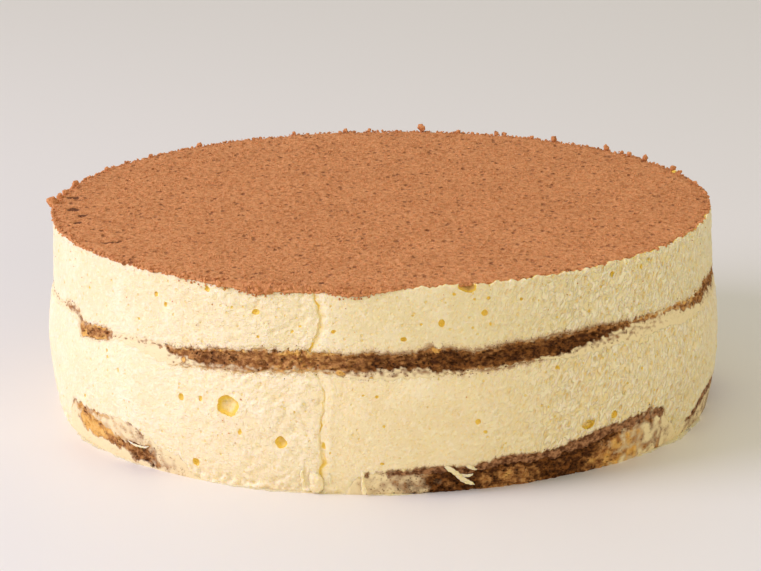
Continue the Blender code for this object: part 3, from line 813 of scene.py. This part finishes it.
def whipped_cream(name):
    """Pale yellow mascarpone cream. A painted highlight whitens its ridge tops, and painted shade and glow
    yellow its hollows and pores. The bare sponges stain it, and cocoa clings under its rim and, with
    painted shade, in the hollows there."""
    finish = Finish(name)
    sunk, hollow, stain, dusted_and_shaded, torn, streaked = (finish.painted(layer) for layer in CREAM_LAYERS)
    cloud = finish.grain(11 * MM, 2)
    fine = finish.grain(0.6 * MM, 3, roughness=0.6)
    peel = finish.grain(1.7 * MM, 2)
    leaning = finish.stretched(1.6, 0.3)
    pores = finish.cells(3.1 * MM).between(0.2, 0.1) * finish.grain(7 * MM, 0).between(0.42, 0.55)
    stipple = finish.cells(1.3 * MM).between(0.5, 0.12) * (1 - 0.6 * torn)
    pits = finish.cells(2.3 * MM, leaning).between(0.36, 0.08) * streaked
    runs = finish.grain(1.5 * MM, 1, leaning).between(0.42, 0.62) * streaked
    flecks = finish.grain(1.1 * MM, 2, finish.stretched(0.7)).between(0.54, 0.68) * torn
    # The cream's own colour, greyer above the middle sponge, then a painted highlight that whitens its
    # ridge tops, runs and peel.
    cream = finish.mix(cloud.between(0.35, 0.65), (0.83, 0.68, 0.36), (0.86, 0.72, 0.40))
    # Torn places, mostly on the brightly lit left, are whitened: partly foamier cream, partly a painted
    # highlight.
    cream = finish.mix(torn * 0.5, cream, (0.89, 0.77, 0.49))
    cream = finish.mix(streaked * 0.45, cream, (0.82, 0.65, 0.29))
    height = finish.node("SeparateXYZ", None, {"Vector": finish.here}, "Z")
    upper = height.between(45 * MM, 55 * MM)
    cream = finish.mix(upper * 0.5, cream, (0.75, 0.65, 0.34))
    # Painted highlight: proud places, leaning runs and peel noise are mixed towards near-white, as if lit.
    ridge_highlight = (sunk.between(0.1, -0.3) * 0.6).at_least(runs * 0.6)
    cream = finish.mix(ridge_highlight.at_least(peel.between(0.5, 0.66) * 0.35), cream, (0.96, 0.87, 0.62))
    # Hollows, pits and bubbles, the deeper the yellower: painted shade and glow of the light the cream
    # scatters in them.
    soft = (sunk.between(0.15, 0.7) * 0.7).at_least(flecks * 0.45)
    colour = finish.mix(soft, cream, (0.87, 0.68, 0.27))
    colour = finish.mix(stipple * 0.5, colour, (0.90, 0.68, 0.26))
    colour = finish.mix(pits * 0.8, colour, (0.87, 0.59, 0.16))
    # Painted glow and shade: bubbles and pores are yellowed most where they are hollow.
    hollow_glow = hollow.between(0.03, 0.3) * (1 - 0.75 * hollow.between(1.0, 2.0))
    hollow_glow = hollow_glow.at_least(pores * (0.5 + 0.35 * streaked))
    colour = finish.mix(hollow_glow * 0.95, colour, (0.84, 0.56, 0.04))
    # Stains and specks of soaked sponge.
    patches = finish.grain(1.0 * MM, 3, roughness=0.6)
    specks = finish.grain(0.6 * MM, 2).between(0.58, 0.68) * stain.between(0.04, 0.35)
    haze = (stain * 1.6 + patches * 1.4 - 0.8).between(0.0, 1.0)
    colour = finish.mix(haze * 0.65, colour, (0.62, 0.42, 0.20))
    soaked = (stain * 1.6 + patches - 0.95).between(0.0, 0.9)
    colour = finish.mix(soaked * 0.85, colour, (0.34, 0.175, 0.058))
    colour = finish.mix(specks * 0.6, colour, (0.28, 0.13, 0.045))
    # Cocoa under the rim; in the hollows near the rim, mostly the notch, the same mix adds painted shade,
    # and a darker painted shade fills the notch.
    dust_and_shade = (dusted_and_shaded * 1.3 + patches - 1.0).between(0.0, 0.8)
    colour = finish.mix(dust_and_shade * 0.7, colour, (0.66, 0.36, 0.15))
    # Painted shade: the notch and other hollows under the rim are darkened to olive brown.
    notch_shade = (hollow * dusted_and_shaded).between(0.6, 1.5)
    colour = finish.mix(notch_shade * 0.85, colour, (0.42, 0.22, 0.025))
    relief = fine * 0.4 + peel * 0.4 + runs * 1.1
    relief = relief - pores * 0.4 - stipple * 0.2 - pits * 0.9 - flecks * 0.25
    finish.fill(finish.shader, {
        "Base Color": colour,
        "Roughness": 0.45 + 0.15 * fine,
        "Normal": finish.bump(relief, 0.6 * MM),
        "Specular IOR Level": 0.6,
        "Subsurface Weight": 0.6,
        "Subsurface Radius": (1.0, 0.8, 0.3),
        "Subsurface Scale": 1.0 * MM,
    })
    return finish


def dress_cream(piece):
    paint(piece, CREAM_LAYERS, cream_paint)
    soften(piece)
    cream_finish.wear(piece)
    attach(piece, "root")


rng = random.Random(5)
burst(lower, LOWER_BUBBLES, 10, 40, rng)
cream_finish = whipped_cream("mascarpone_cream")
dress_cream(lower)
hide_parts("lower_cream")


# ---------------------------------------------------------------- middle sponge
# A second soaked sponge between the creams. Its torn edge shows as a dark band, thin at the
# sides, with a grey-white film of cream wiped over its lower half at the front.

MIDDLE_ROWS = 22
BAND_BEHIND = 0.6 * MM  # how far the band goes on behind the creams' edges


def middle_ring(share, angle):
    low = middle_foot(angle) - BAND_BEHIND
    high = middle_top(angle) + BAND_BEHIND
    height = low + share * (high - low)
    behind = 1 - step(0, 1.6 * BAND_BEHIND, min(height - low, high - height))
    bare = 1 - step(0.3, 0.8, middle_zones(angle, height)[0])
    radius = wall(angle, height) - (0.08 + 0.25 * bare * (1 - behind) + 0.3 * behind) * MM
    return radius + crumbly(angle, height, 50) * (0.25 + 0.6 * bare) * (1 - 0.5 * behind), height


middle = rows_of(
    "middle_sponge_edge",
    [
        lambda a: (FOOT_RADIUS - EDGE_TAPER, MIDDLE_HEIGHT - MIDDLE_THICKNESS / 2),
        *rings_of(middle_ring, MIDDLE_ROWS),
        lambda a: (FOOT_RADIUS - EDGE_TAPER, MIDDLE_HEIGHT + MIDDLE_THICKNESS / 2),
    ],
)


def middle_paint(angle, radius, height):
    """The zones broken up in patches, with cream and dry crumb clinging along both torn edges."""
    film, pale, wet, crust = middle_zones(angle, height)
    film += rough(angle, height, 0.5, 1.6 * MM, 60, 0.6)
    nearest = min(abs(off_edge(middle_foot, angle, height)), abs(off_edge(middle_top, angle, height)))
    film += 0.75 * fades(nearest, 0.75 * MM)
    pale += rough(angle, height, 0.4, 2.6 * MM, 61, 0.4) - 0.08 + 0.6 * fades(nearest, 0.9 * MM)
    wet += rough(angle, height, 0.5, 2.6 * MM, 62, 0.4) - 0.9 * fades(nearest, 1.2 * MM)
    return film, pale, wet, crust


dress_sponge(middle, middle_paint)
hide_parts("middle_sponge")


# ---------------------------------------------------------------- upper cream
# The second cream, levelled off flat along the ring's rim, where the largest of its bubbles burst
# and left a notch. It is made as the lower one is.

UPPER_ROWS = 48
UPPER_BUBBLES = (
    (-59.1, 62.8, 1.6, 1.5), (-39.9, 64.2, 2.4, 2.2), (-44.0, 53.8, 2.0, 1.4), (-20.4, 54.7, 1.5, 1.4),
    (-20.8, 63.1, 3.2, 2.6), (-23.1, 64.1, 1.7, 2.1), (-25.0, 63.9, 1.5, 1.5), (-13.4, 59.4, 1.7, 1.5),
    (-14.7, 57.4, 2.0, 2.0), (-15.8, 58.5, 1.2, 1.0), (-7.9, 58.0, 1.9, 1.5), (3.2, 55.3, 2.5, 1.7),
    (4.7, 63.3, 1.5, 1.2), (6.0, 60.2, 1.5, 1.4), (9.3, 60.3, 2.5, 2.7), (16.4, 62.8, 2.6, 2.5),
    (17.0, 67.7, 1.8, 1.7), (11.4, 70.1, 2.0, 1.6), (14.7, 67.8, 1.5, 1.3), (14.4, 58.0, 1.5, 1.8),
    (17.4, 58.8, 1.6, 2.2), (13.7, 73.2, 7.8, 6.2), (10.0, 67.2, 1.3, 1.2), (12.9, 66.4, 1.2, 1.2),
    (19.9, 62.0, 1.2, 2.0), (22.6, 66.3, 1.5, 1.4), (27.2, 52.9, 1.4, 1.5), (-29.6, 69.2, 2.6, 2.2),
    (-26.3, 70.1, 1.8, 1.6), (41.9, 51.8, 1.3, 1.3), (40.6, 69.2, 2.4, 2.6), (47.6, 69.2, 2.0, 2.8),
    (36.9, 64.6, 1.6, 1.5), (-5.2, 50.7, 1.2, 0.9),
)


def upper_ring(share, angle):
    low = middle_top(angle)
    top = cream_rim(angle)
    height = low + share * (top - low)
    radius = wall(angle, height) + cream_relief(angle, height)
    radius -= lip(middle_top, angle, height) + rounded(top - height, LIP)
    lumps = max(0, rough(angle, height, 0.8 * MM, 1.8 * MM, 74)) * fades(top - height, 1.3 * MM)
    return radius + lumps * step(1.25, 1.45, eased(RIM, angle, 1)), height


upper = rows_of(
    "upper_cream_wall",
    [
        lambda a: (FOOT_RADIUS - EDGE_TAPER, MIDDLE_HEIGHT + MIDDLE_THICKNESS / 2 + GAP),
        lambda a: (wall(a, 50 * MM) - EDGE_TUCK, middle_top(a)),
        *rings_of(upper_ring, UPPER_ROWS, ROW_CROWDING),
        lambda a: (TOP_RADIUS - 1.2 * MM, cream_rim(a) - 0.15 * MM),
        lambda a: (TOP_RADIUS - 3 * MM, CREAM_TOP),
    ],
)
burst(upper, UPPER_BUBBLES, 53, 69, rng)
dress_cream(upper)
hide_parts("upper_cream")


# ---------------------------------------------------------------- cocoa bed
# Cocoa sieved thickly over the levelled cream, damp enough to look like fine sand. Its rim is
# ragged where the ring was lifted off. A round fan of triangles is cut finer seven times.

COCOA_TOP = 73.0 * MM
FAN = 10
CUTS = 7
COLUMN_JITTER = 0.12  # degrees that the bed's corners stray, so that its fan doesn't show
# Damp spots and a crack near the rim: place across and along, width and length, in millimetres.
DAMP_SPOTS = (
    (-113.4, -5.7, 5.5, 6), (-109.4, -15.7, 3.4, 4), (-110, -26, 3.4, 4), (-115.1, 12, 5.5, 5),
    (-96.2, -55.2, 11, 1.9), (-103.5, -36, 2.2, 2.4), (-20.5, -112.5, 2.4, 3),
)


def cocoa_rim(angle):
    """Radius of the bed's ragged rim."""
    ragged = rough(angle, 72 * MM, 1.0 * MM, 4 * MM, 8) + rough(angle, 72 * MM, 0.9 * MM, 1.4 * MM, 81)
    return TOP_RADIUS + eased(RIM, angle, 2) * MM + ragged


def dampness(x, y):
    """How dark and sunk the cocoa is, from 0 to 1."""
    damp = 0
    for across, along, wide, long in DAMP_SPOTS:
        off = math.hypot((x / MM - across) / wide, (y / MM - along) / long)
        damp = max(damp, 1 - step(0.25, 0.6, off))
    return damp


def cocoa_height(x, y):
    """Height of the bed: slow drifts of the sieve, and the grains."""
    at = Vector((x, y, 0))
    drift = 0.25 * noise.noise(at / (18 * MM)) + 0.12 * noise.noise(at / (6 * MM))
    grains = 0.42 * noise.noise(at / (2.2 * MM)) + 0.2 * noise.noise(at / (1.1 * MM))
    return COCOA_TOP + (drift + grains - 0.6 * dampness(x, y)) * MM


def bed_edge(angle):
    """Height of the bed at its rim, where it rounds down to the cream."""
    return min(COCOA_TOP - 0.3 * MM, cream_rim(angle) + 0.15 * MM)


# The fan is drawn down three times at its rim, to levels -1, -2 and -3: the bed's outer edge, its
# foot, and its hidden underside.
cocoa = fresh(bpy.ops.mesh.primitive_circle_add, vertices=FAN, radius=1, fill_type="TRIFAN")
cocoa.name = "cocoa_bed"
bpy.ops.object.mode_set(mode="EDIT")
bpy.ops.mesh.select_mode(type="VERT")
bpy.ops.mesh.select_all(action="SELECT")
for _ in range(CUTS):
    bpy.ops.mesh.subdivide(number_cuts=1)
bpy.ops.mesh.region_to_loop()
for _ in range(3):
    bpy.ops.mesh.extrude_region_move(TRANSFORM_OT_translate={"value": (0, 0, -1)})
bpy.ops.mesh.edge_face_add()
bpy.ops.object.mode_set(mode="OBJECT")
rng = random.Random(11)
wedge = 360 / FAN
for vert in cocoa.data.vertices:
    angle, reach, level = polar(vert.co)
    off_middle = math.radians(angle % wedge - wedge / 2)
    share = reach * math.cos(off_middle) / math.cos(math.radians(wedge / 2))
    radius = share * TOP_RADIUS + step(0.95, 1, share) * (cocoa_rim(angle) - TOP_RADIUS)
    if level > -0.5:
        spot = place(angle + COLUMN_JITTER * rng.uniform(-1, 1), radius, 0)
        droop = (COCOA_TOP - bed_edge(angle)) * step(0.965, 1.004, share)
        vert.co = Vector((spot.x, spot.y, cocoa_height(spot.x, spot.y) - droop))
    elif level > -2.5:
        proud = rough(angle, (70 - level * 4) * MM, 0.5 * MM, 1.1 * MM, 82) * (level > -1.5)
        tucked = 0.1 * MM if level > -1.5 else -0.4 * MM
        vert.co = place(angle, radius + tucked + proud, bed_edge(angle) + 0.35 * level * MM)
    else:
        vert.co = place(angle, radius - 1.6 * MM, CREAM_TOP + 0.1 * MM)


def dusted_cocoa(name):
    """Dry cocoa like fine matt sand, orange-brown, with darker damp grains and spots in it. Painted shade
    darkens the low places of its grain and, in part, its dark specks, and a painted highlight lightens the
    high places.
    """
    finish = Finish(name)
    from_above = finish.node("Mapping", None, {"Vector": finish.here, "Scale": (1, 0.7, 0.2)})
    grains = finish.grain(1.5 * MM, 3, roughness=0.65)
    fine = finish.grain(0.35 * MM, 2)
    drift = finish.grain(16 * MM, 3)
    colour = finish.mix(drift.between(0.3, 0.7), (0.64, 0.271, 0.094), (0.69, 0.300, 0.107))
    # Painted shade on the grain's low places and a painted highlight on its high places, as the bump raises
    # the same noise.
    colour = finish.mix(grains.between(0.54, 0.36) * 0.55, colour, (0.42, 0.155, 0.046))
    colour = finish.mix(grains.between(0.5, 0.66) * 0.35, colour, (0.82, 0.40, 0.16))
    # Dark specks in little pits: partly darker grains, partly painted shade in the pits.
    gathered = finish.grain(6 * MM, 1).between(0.40, 0.60)
    specks = finish.cells(2.6 * MM, from_above).between(0.40, 0.12) * gathered
    colour = finish.mix(specks * 0.75, colour, (0.20, 0.065, 0.022))
    damp = (finish.painted("damp") * 1.5 + grains - 0.75).between(0.0, 0.8)
    colour = finish.mix(damp * 0.85, colour, (0.075, 0.022, 0.009))
    finish.fill(finish.shader, {
        "Base Color": colour,
        "Roughness": 0.95,
        "Specular IOR Level": 0.15,
        "Normal": finish.bump(grains * 1.2 + fine * 0.2 - specks * 0.5, 0.85 * MM),
    })
    return finish


damp = [dampness(vert.co.x, vert.co.y) for vert in cocoa.data.vertices]
cocoa.data.attributes.new("damp", "FLOAT", "POINT").data.foreach_set("value", damp)
soften(cocoa, 80)
cocoa_finish = dusted_cocoa("dusted_cocoa")
cocoa_finish.wear(cocoa)
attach(cocoa, "root")
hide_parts("cocoa_dusting")


# ---------------------------------------------------------------- loose cocoa
# Grains and little clumps that lie on the bed, those that stand at its rim or hang over it onto
# the cream, and specks that fell on the wall. One grain is modelled for each kind, and its copies
# are joined into one mesh.

FINE_GRAINS = 16000
GRAINS = 8500
RIM_GRAINS = 800
SLIDES = 70  # little groups that slid down from the rim
FALLEN_SPECKS = 150


def pebble(kind):
    """Corners and faces of one grain: a cube, or a rounded lump of 20 or 80 faces."""
    if kind == "cube":
        lump = fresh(bpy.ops.mesh.primitive_cube_add, size=0.8)
    else:
        fineness = {"small": 1, "large": 2}[kind]
        lump = fresh(bpy.ops.mesh.primitive_ico_sphere_add, subdivisions=fineness, radius=0.5)
    corners = [v.co.copy() for v in lump.data.vertices]
    sides = [list(p.vertices) for p in lump.data.polygons]
    bpy.data.objects.remove(lump)
    return corners, sides


def added(name, data):
    """A new object in the scene."""
    thing = bpy.data.objects.new(name, data)
    bpy.context.scene.collection.objects.link(thing)
    return thing


def scatter(name, kind, spots, rng, flat=1):
    """One mesh of many grains. Each spot is a place and a size. A flat below 1 presses the grains
    down level."""
    corners, sides = pebble(kind)
    points = []
    polygons = []
    for spot, size in spots:
        first = len(points)
        spin = Quaternion((rng.gauss(0, 1), rng.gauss(0, 1), rng.gauss(0, 1), rng.gauss(0, 1))).normalized()
        stretch = Vector((rng.uniform(0.7, 1.3), rng.uniform(0.7, 1.2), rng.uniform(0.6, 1.0))) * size
        for corner in corners:
            grown = corner * rng.uniform(0.82, 1.18)
            grown = spin @ Vector(a * b for a, b in zip(grown, stretch))
            points.append(spot + Vector((grown.x, grown.y, grown.z * flat)))
        polygons.extend([first + i for i in side] for side in sides)
    mesh = bpy.data.meshes.new(name)
    mesh.from_pydata(points, [], polygons)
    return added(name, mesh)


def on_bed(count, smallest, largest, rng):
    """Places spread evenly over the bed, clear of its damp spots. Small grains are the most."""
    spots = []
    while len(spots) < count:
        radius = (TOP_RADIUS - 0.5 * MM) * math.sqrt(rng.random())
        angle = rng.uniform(-180, 180)
        size = (smallest + (largest - smallest) * rng.random() ** 2) * MM
        at = place(angle, radius, 0)
        if dampness(at.x, at.y) < 0.2:
            at.z = cocoa_height(at.x, at.y)
            spots.append((at, size))
    return spots


def wear_cocoa(piece):
    cocoa_finish.wear(piece)
    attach(piece, "root")


rng = random.Random(21)
wear_cocoa(scatter("cocoa_fine_grains", "cube", on_bed(FINE_GRAINS, 0.5, 0.8, rng), rng, flat=0.7))
wear_cocoa(scatter("cocoa_grains", "small", on_bed(GRAINS, 0.6, 1.2, rng), rng, flat=0.7))

# Clumps at the rim: angle, size, and how far out past the wall and up over the bed their middle
# lies, in millimetres.
RIM_CLUMPS = (
    (172.2, 3.2, -1.5, 1.5), (157.4, 1.9, -1, 0.4), (155.8, 2.0, -1, 0.5), (145.1, 2.2, -1, 0.8),
    (132.6, 2.2, -1, 0.9), (128.4, 1.6, -1, 0.4), (126.3, 2.0, -1, 0.6), (121.7, 2.4, -1, 0.9),
    (112.0, 2.4, -0.9, 0.9), (109.5, 2.0, -0.8, 0.5), (101.0, 1.6, -1, 0.4), (94.0, 2.0, -0.6, 0.1),
    (-91.6, 4.0, 1.0, 0.5), (-95.8, 2.4, -0.2, 0.4), (-98.7, 2.0, -0.8, 0.4), (-105.3, 2.2, -0.8, 0.6),
    (-118, 1.8, -1, 0.4), (-131, 1.5, -1, 0.3), (-143, 2.0, -1, 0.5), (-163, 1.8, -1, 0.4),
    (-173, 1.8, -1, 0.5), (-177.7, 1.6, -1, 0.4), (165, 1.6, -1, 0.3), (150, 1.5, -1, 0.3),
    (-27.2, 2.3, 0.4, -1.4), (-22.0, 1.8, 0.4, -1.6), (-20.4, 2.2, 0.4, -2.0), (-18.6, 2.4, 0.4, -2.2),
    (-17.2, 1.6, 0.3, -1.6), (-6.2, 1.6, 0.3, -1.6), (-5.4, 2.2, 0.4, -2.2), (-4.0, 1.7, 0.4, -1.9),
    (-33.5, 1.4, 0.2, -1.0), (-47.6, 1.5, 0.1, -0.8), (52.3, 1.4, -0.2, 0.2), (55.0, 1.2, -0.3, 0.1),
)
LUMPS_ON_CLUMP = 9
clumps = []
for angle, size, out, up in RIM_CLUMPS:
    middle_of_clump = place(angle, TOP_RADIUS + out * MM, COCOA_TOP + up * MM)
    clumps.append((middle_of_clump, 1.05 * size * MM))
    for _ in range(LUMPS_ON_CLUMP):
        near = Vector((rng.gauss(0, 1), rng.gauss(0, 1), rng.gauss(0, 1))).normalized()
        lump_at = middle_of_clump + near * 0.36 * size * MM
        clumps.append((lump_at, rng.uniform(0.3, 0.55) * size * MM))


def at_rim(angle, sunk, size):
    """A grain on the cocoa's rim, sunk this far in millimetres under the bed, and its size."""
    out = eased(RIM, angle, 2) + rng.uniform(-0.5, 0.3) - 0.1 * sunk
    return place(angle, TOP_RADIUS + out * MM, COCOA_TOP - sunk * MM), size * MM


for _ in range(RIM_GRAINS):
    angle = rng.uniform(-180, 180)
    line = (COCOA_TOP - cream_rim(angle)) / MM
    clumps.append(at_rim(angle, rng.uniform(0.15, max(0.5, line + 0.3)), rng.uniform(0.6, 1.4)))
# Grains that slid down over the cream in little groups, the most where the rim crumbled.
for _ in range(SLIDES):
    crumbled = (rng.uniform(-180, 180), rng.gauss(-22, 6), rng.gauss(-60, 20), rng.gauss(-5, 2))
    middle_angle = rng.choice(crumbled)
    if eased(RIM, middle_angle, 2) > -0.4:
        line = (COCOA_TOP - cream_rim(middle_angle)) / MM
        for _ in range(rng.randint(3, 7)):
            sunk = line + 1.6 * rng.random() ** 1.6
            clumps.append(at_rim(middle_angle + rng.gauss(0, 0.5), sunk, rng.uniform(0.4, 0.95)))
wear_cocoa(scatter("cocoa_clumps", "large", clumps, rng))

# Specks on the wall: angle and height in millimetres.
WALL_SPECKS = (
    (-26.4, 24.2), (-25.4, 19.9), (-24.4, 16.6), (-23.1, 32.6), (-18.2, 23.6), (-23.9, 23.6), (-36.4, 62.8),
    (-28.6, 64), (-26, 64.4), (-31.6, 56), (-64, 66.5), (13, 34.6),
)
specks = []
for angle, height in WALL_SPECKS:
    specks.append((place(angle, wall(angle, height * MM), height * MM), rng.uniform(0.4, 0.7) * MM))
for _ in range(FALLEN_SPECKS):
    angle = rng.uniform(-180, 180)
    height = CREAM_TOP - (1 + 14 * rng.random() ** 2.5) * MM
    specks.append((place(angle, wall(angle, height), height), rng.uniform(0.25, 0.5) * MM))
wear_cocoa(scatter("cocoa_wall_specks", "small", specks, rng))


# ---------------------------------------------------------------- loose crumbs and cream
# Sponge crumbs that cling to the torn edges of both sponges, cream smeared along the cake's foot,
# and the rags of cream that hang over the base sponge where the strip pulled them off.

CRUMBS = 3000
rng = random.Random(31)
crumbs = []
for _ in range(CRUMBS):
    angle = round(rng.uniform(-180, 180), 2)
    edge = rng.choice((middle_foot, middle_top, middle_top, cream_foot))
    if edge(angle) > 1 * MM and soiled(edge, angle) > 0.5 * rng.random() + 0.2:
        height = edge(angle) + rng.gauss(0, 0.7) * MM
        at = place(angle, wall(angle, height) - rng.uniform(0.05, 0.3) * MM, height)
        crumbs.append((at, rng.uniform(0.25, 0.55) * MM))
crumb_piece = scatter("sponge_crumbs", "small", crumbs, rng)
sponge_finish.wear(crumb_piece)
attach(crumb_piece, "root")

# Cream smeared out at the cake's foot: angle, how many degrees it spans, and how far out it
# reaches, in millimetres.
FOOT_SMEARS = (
    (-61, 12, 1.4), (-49, 9, 1.0), (-22, 17, 0.9), (1, 8, 0.7), (50, 8, 0.8), (60, 12, 2.0), (68, 9, 1.2),
    (127, 12, 1.2), (-112, 16, 1.2),
)
SMEAR_THICKNESS = 0.3 * MM
smears = []
for angle, degrees, reach in FOOT_SMEARS:
    piece = fresh(bpy.ops.mesh.primitive_ico_sphere_add, subdivisions=5, radius=1)
    for vert in piece.data.vertices:
        turned = angle + vert.co.x * degrees / 2
        out = -vert.co.y * (reach * MM + rough(turned, 0, 0.8 * MM, 2.5 * MM, 90))
        thick = SMEAR_THICKNESS + rough(turned, out * 3, 0.15 * MM, 1.5 * MM, 91)
        vert.co = place(turned, FOOT_RADIUS + out, max(0.0, vert.co.z) * thick)
    smears.append(piece)
foot_smear = joined(smears)
foot_smear.name = "cream_foot_smear"

# Rags of cream: along each, angle, then height, how far it stands out, and its width, in
# millimetres.
CREAM_RAGS = (
    ((-3.7, 9.8, -0.3, 0.5), (-3.6, 8.4, 0.2, 1.4), (-3.5, 6.6, 0.4, 0.9), (-3.6, 4.8, 0.6, 1.5),
     (-3.4, 3, 0.8, 1.2), (-3.3, 1.4, 1.1, 2.2), (-3.3, 0.6, 1.3, 1.2)),
    ((9.4, 10.6, -0.4, 0.6), (10.1, 9.5, 0.3, 2.0), (10.8, 8.3, 0.6, 1.5), (11.4, 7.5, 0.9, 2.1),
     (11.9, 6.2, 1.0, 1.6), (12.5, 5.0, 1.2, 2.0), (13.3, 4.0, 1.4, 1.5), (14.0, 3.4, 1.6, 1.0),
     (14.4, 2.8, 1.7, 0.3)),
    ((11.7, 6.6, 0.5, 0.6), (12.4, 6.6, 0.9, 1.1), (13.2, 6.2, 1.1, 1.3), (13.9, 6.6, 1.0, 0.6),
     (14.2, 6.9, 0.8, 0.2)),
    ((12.9, 10.2, -0.3, 0.5), (13.4, 9.5, 0.3, 1.6), (14.1, 8.8, 0.5, 1.3), (14.8, 8.1, 0.4, 0.4)),
    ((-13.4, 9.6, -0.3, 0.4), (-13.4, 8, 0.4, 1.1), (-13.3, 6, 0.6, 1.2), (-13.1, 4, 0.5, 0.9),
     (-13.2, 2.6, 0.2, 0.3)),
    ((-11.6, 9.4, -0.9, 1.2), (-11.5, 7.6, -0.4, 3.4), (-11.2, 5.6, -0.1, 5.2), (-11, 3.6, 0, 4.4),
     (-11.2, 2, 0.1, 4.8), (-11.1, 0.8, 0.1, 3), (-11, 0.3, 0.1, 1)),
    ((-47.6, 8.2, -0.3, 0.4), (-46, 7.6, 0, 0.7), (-44.2, 7.5, 0.1, 0.8), (-42.8, 8, 0.1, 0.7),
     (-42.2, 8.6, -0.2, 0.4)),
    ((-9, 9, -0.5, 0.4), (-8.9, 7.4, 0.2, 0.9), (-8.8, 5.6, 0.3, 0.8), (-8.9, 3.8, 0.1, 0.3)),
)
RAG_SIDES = 12
RAG_THICKNESS = 0.45  # as a share of its width
noise.seed_set(31)  # for noise_vector(), which differs from run to run without it
rags = []
for rag in CREAM_RAGS:
    piece = cylinder(RAG_SIDES, 0.5, len(rag))
    line = [place(a, wall(a, h * MM) + out * MM, h * MM) for a, h, out, _ in rag]
    for vert in piece.data.vertices:
        row = round((0.5 - vert.co.z) * (len(rag) - 1))
        angle, _, _, wide = rag[row]
        run = line[min(row + 1, len(line) - 1)] - line[max(row - 1, 0)]
        outward = place(angle, 1, 0)
        aside = outward.cross(run).normalized()
        lump = 1 + 0.35 * noise.noise(vert.co * 3 + line[row] * 500)
        across = aside * vert.co.x + outward * vert.co.y * RAG_THICKNESS
        vert.co = line[row] + across * wide * MM * lump
    modified(piece, "SUBSURF", levels=2, render_levels=2)
    for vert in piece.data.vertices:
        vert.co += noise.noise_vector(vert.co / (0.9 * MM)) * 0.3 * MM
    bpy.ops.object.mode_set(mode="EDIT")
    bpy.ops.mesh.select_all(action="SELECT")
    bpy.ops.mesh.normals_make_consistent(inside=False)
    bpy.ops.object.mode_set(mode="OBJECT")
    rags.append(piece)
all_rags = joined(rags)
all_rags.name = "cream_rags"
for piece in (all_rags, foot_smear):
    soften(piece, 80)
    cream_finish.wear(piece)
    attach(piece, "root")


# ---------------------------------------------------------------- studio
# A plain pale floor, a large soft light on the left, a weak one above the front, an even glow all
# round, and the camera.

floor = fresh(bpy.ops.mesh.primitive_plane_add, size=12)
floor.name = "studio_floor"
floor_finish = Finish("studio_floor")
floor_finish.fill(floor_finish.shader, {"Base Color": (0.82, 0.79, 0.69, 1), "Roughness": 0.5})
floor_finish.wear(floor)

CAMERA_PLACE = Vector((-0.0001, -1.1876, 0.3652))
CAMERA_TARGET = Vector((-0.0009, 0, 0.0410))
CAMERA_ROLL = -0.011
CAMERA_LENS = 156.7
LAMP_TARGET = Vector((0, 0, 0.05))


def aimed(name, data, where, target, roll=0):
    """A camera or lamp at this place, turned to its target."""
    thing = added(name, data)
    thing.location = where
    thing.rotation_mode = "QUATERNION"
    aim = (target - where).to_track_quat("-Z", "Y")
    thing.rotation_quaternion = aim @ Quaternion((0, 0, 1), roll)
    return thing


view = bpy.data.cameras.new("camera")
view.lens = CAMERA_LENS
view.clip_start = 0.05
bpy.context.scene.camera = aimed("camera", view, CAMERA_PLACE, CAMERA_TARGET, CAMERA_ROLL)


def softbox(name, where, size, power, colour):
    lamp = bpy.data.lights.new(name, "AREA")
    lamp.shape = "DISK"
    lamp.size = size
    lamp.energy = power
    lamp.color = colour
    aimed(name, lamp, where, LAMP_TARGET)


softbox("key", Vector((-1.4, -0.42, 0.78)), 1.0, 21.5, (0.93, 0.89, 1.29))
softbox("fill", Vector((0.75, -1.1, 0.48)), 0.7, 4.0, (1, 0.92, 0.79))
world = bpy.data.worlds.new("studio")
world.use_nodes = True
glow = world.node_tree.nodes["Background"].inputs
glow["Color"].default_value = (1, 0.965, 0.92, 1)
glow["Strength"].default_value = 0.61
bpy.context.scene.world = world
bpy.context.scene.view_settings.view_transform = "Standard"
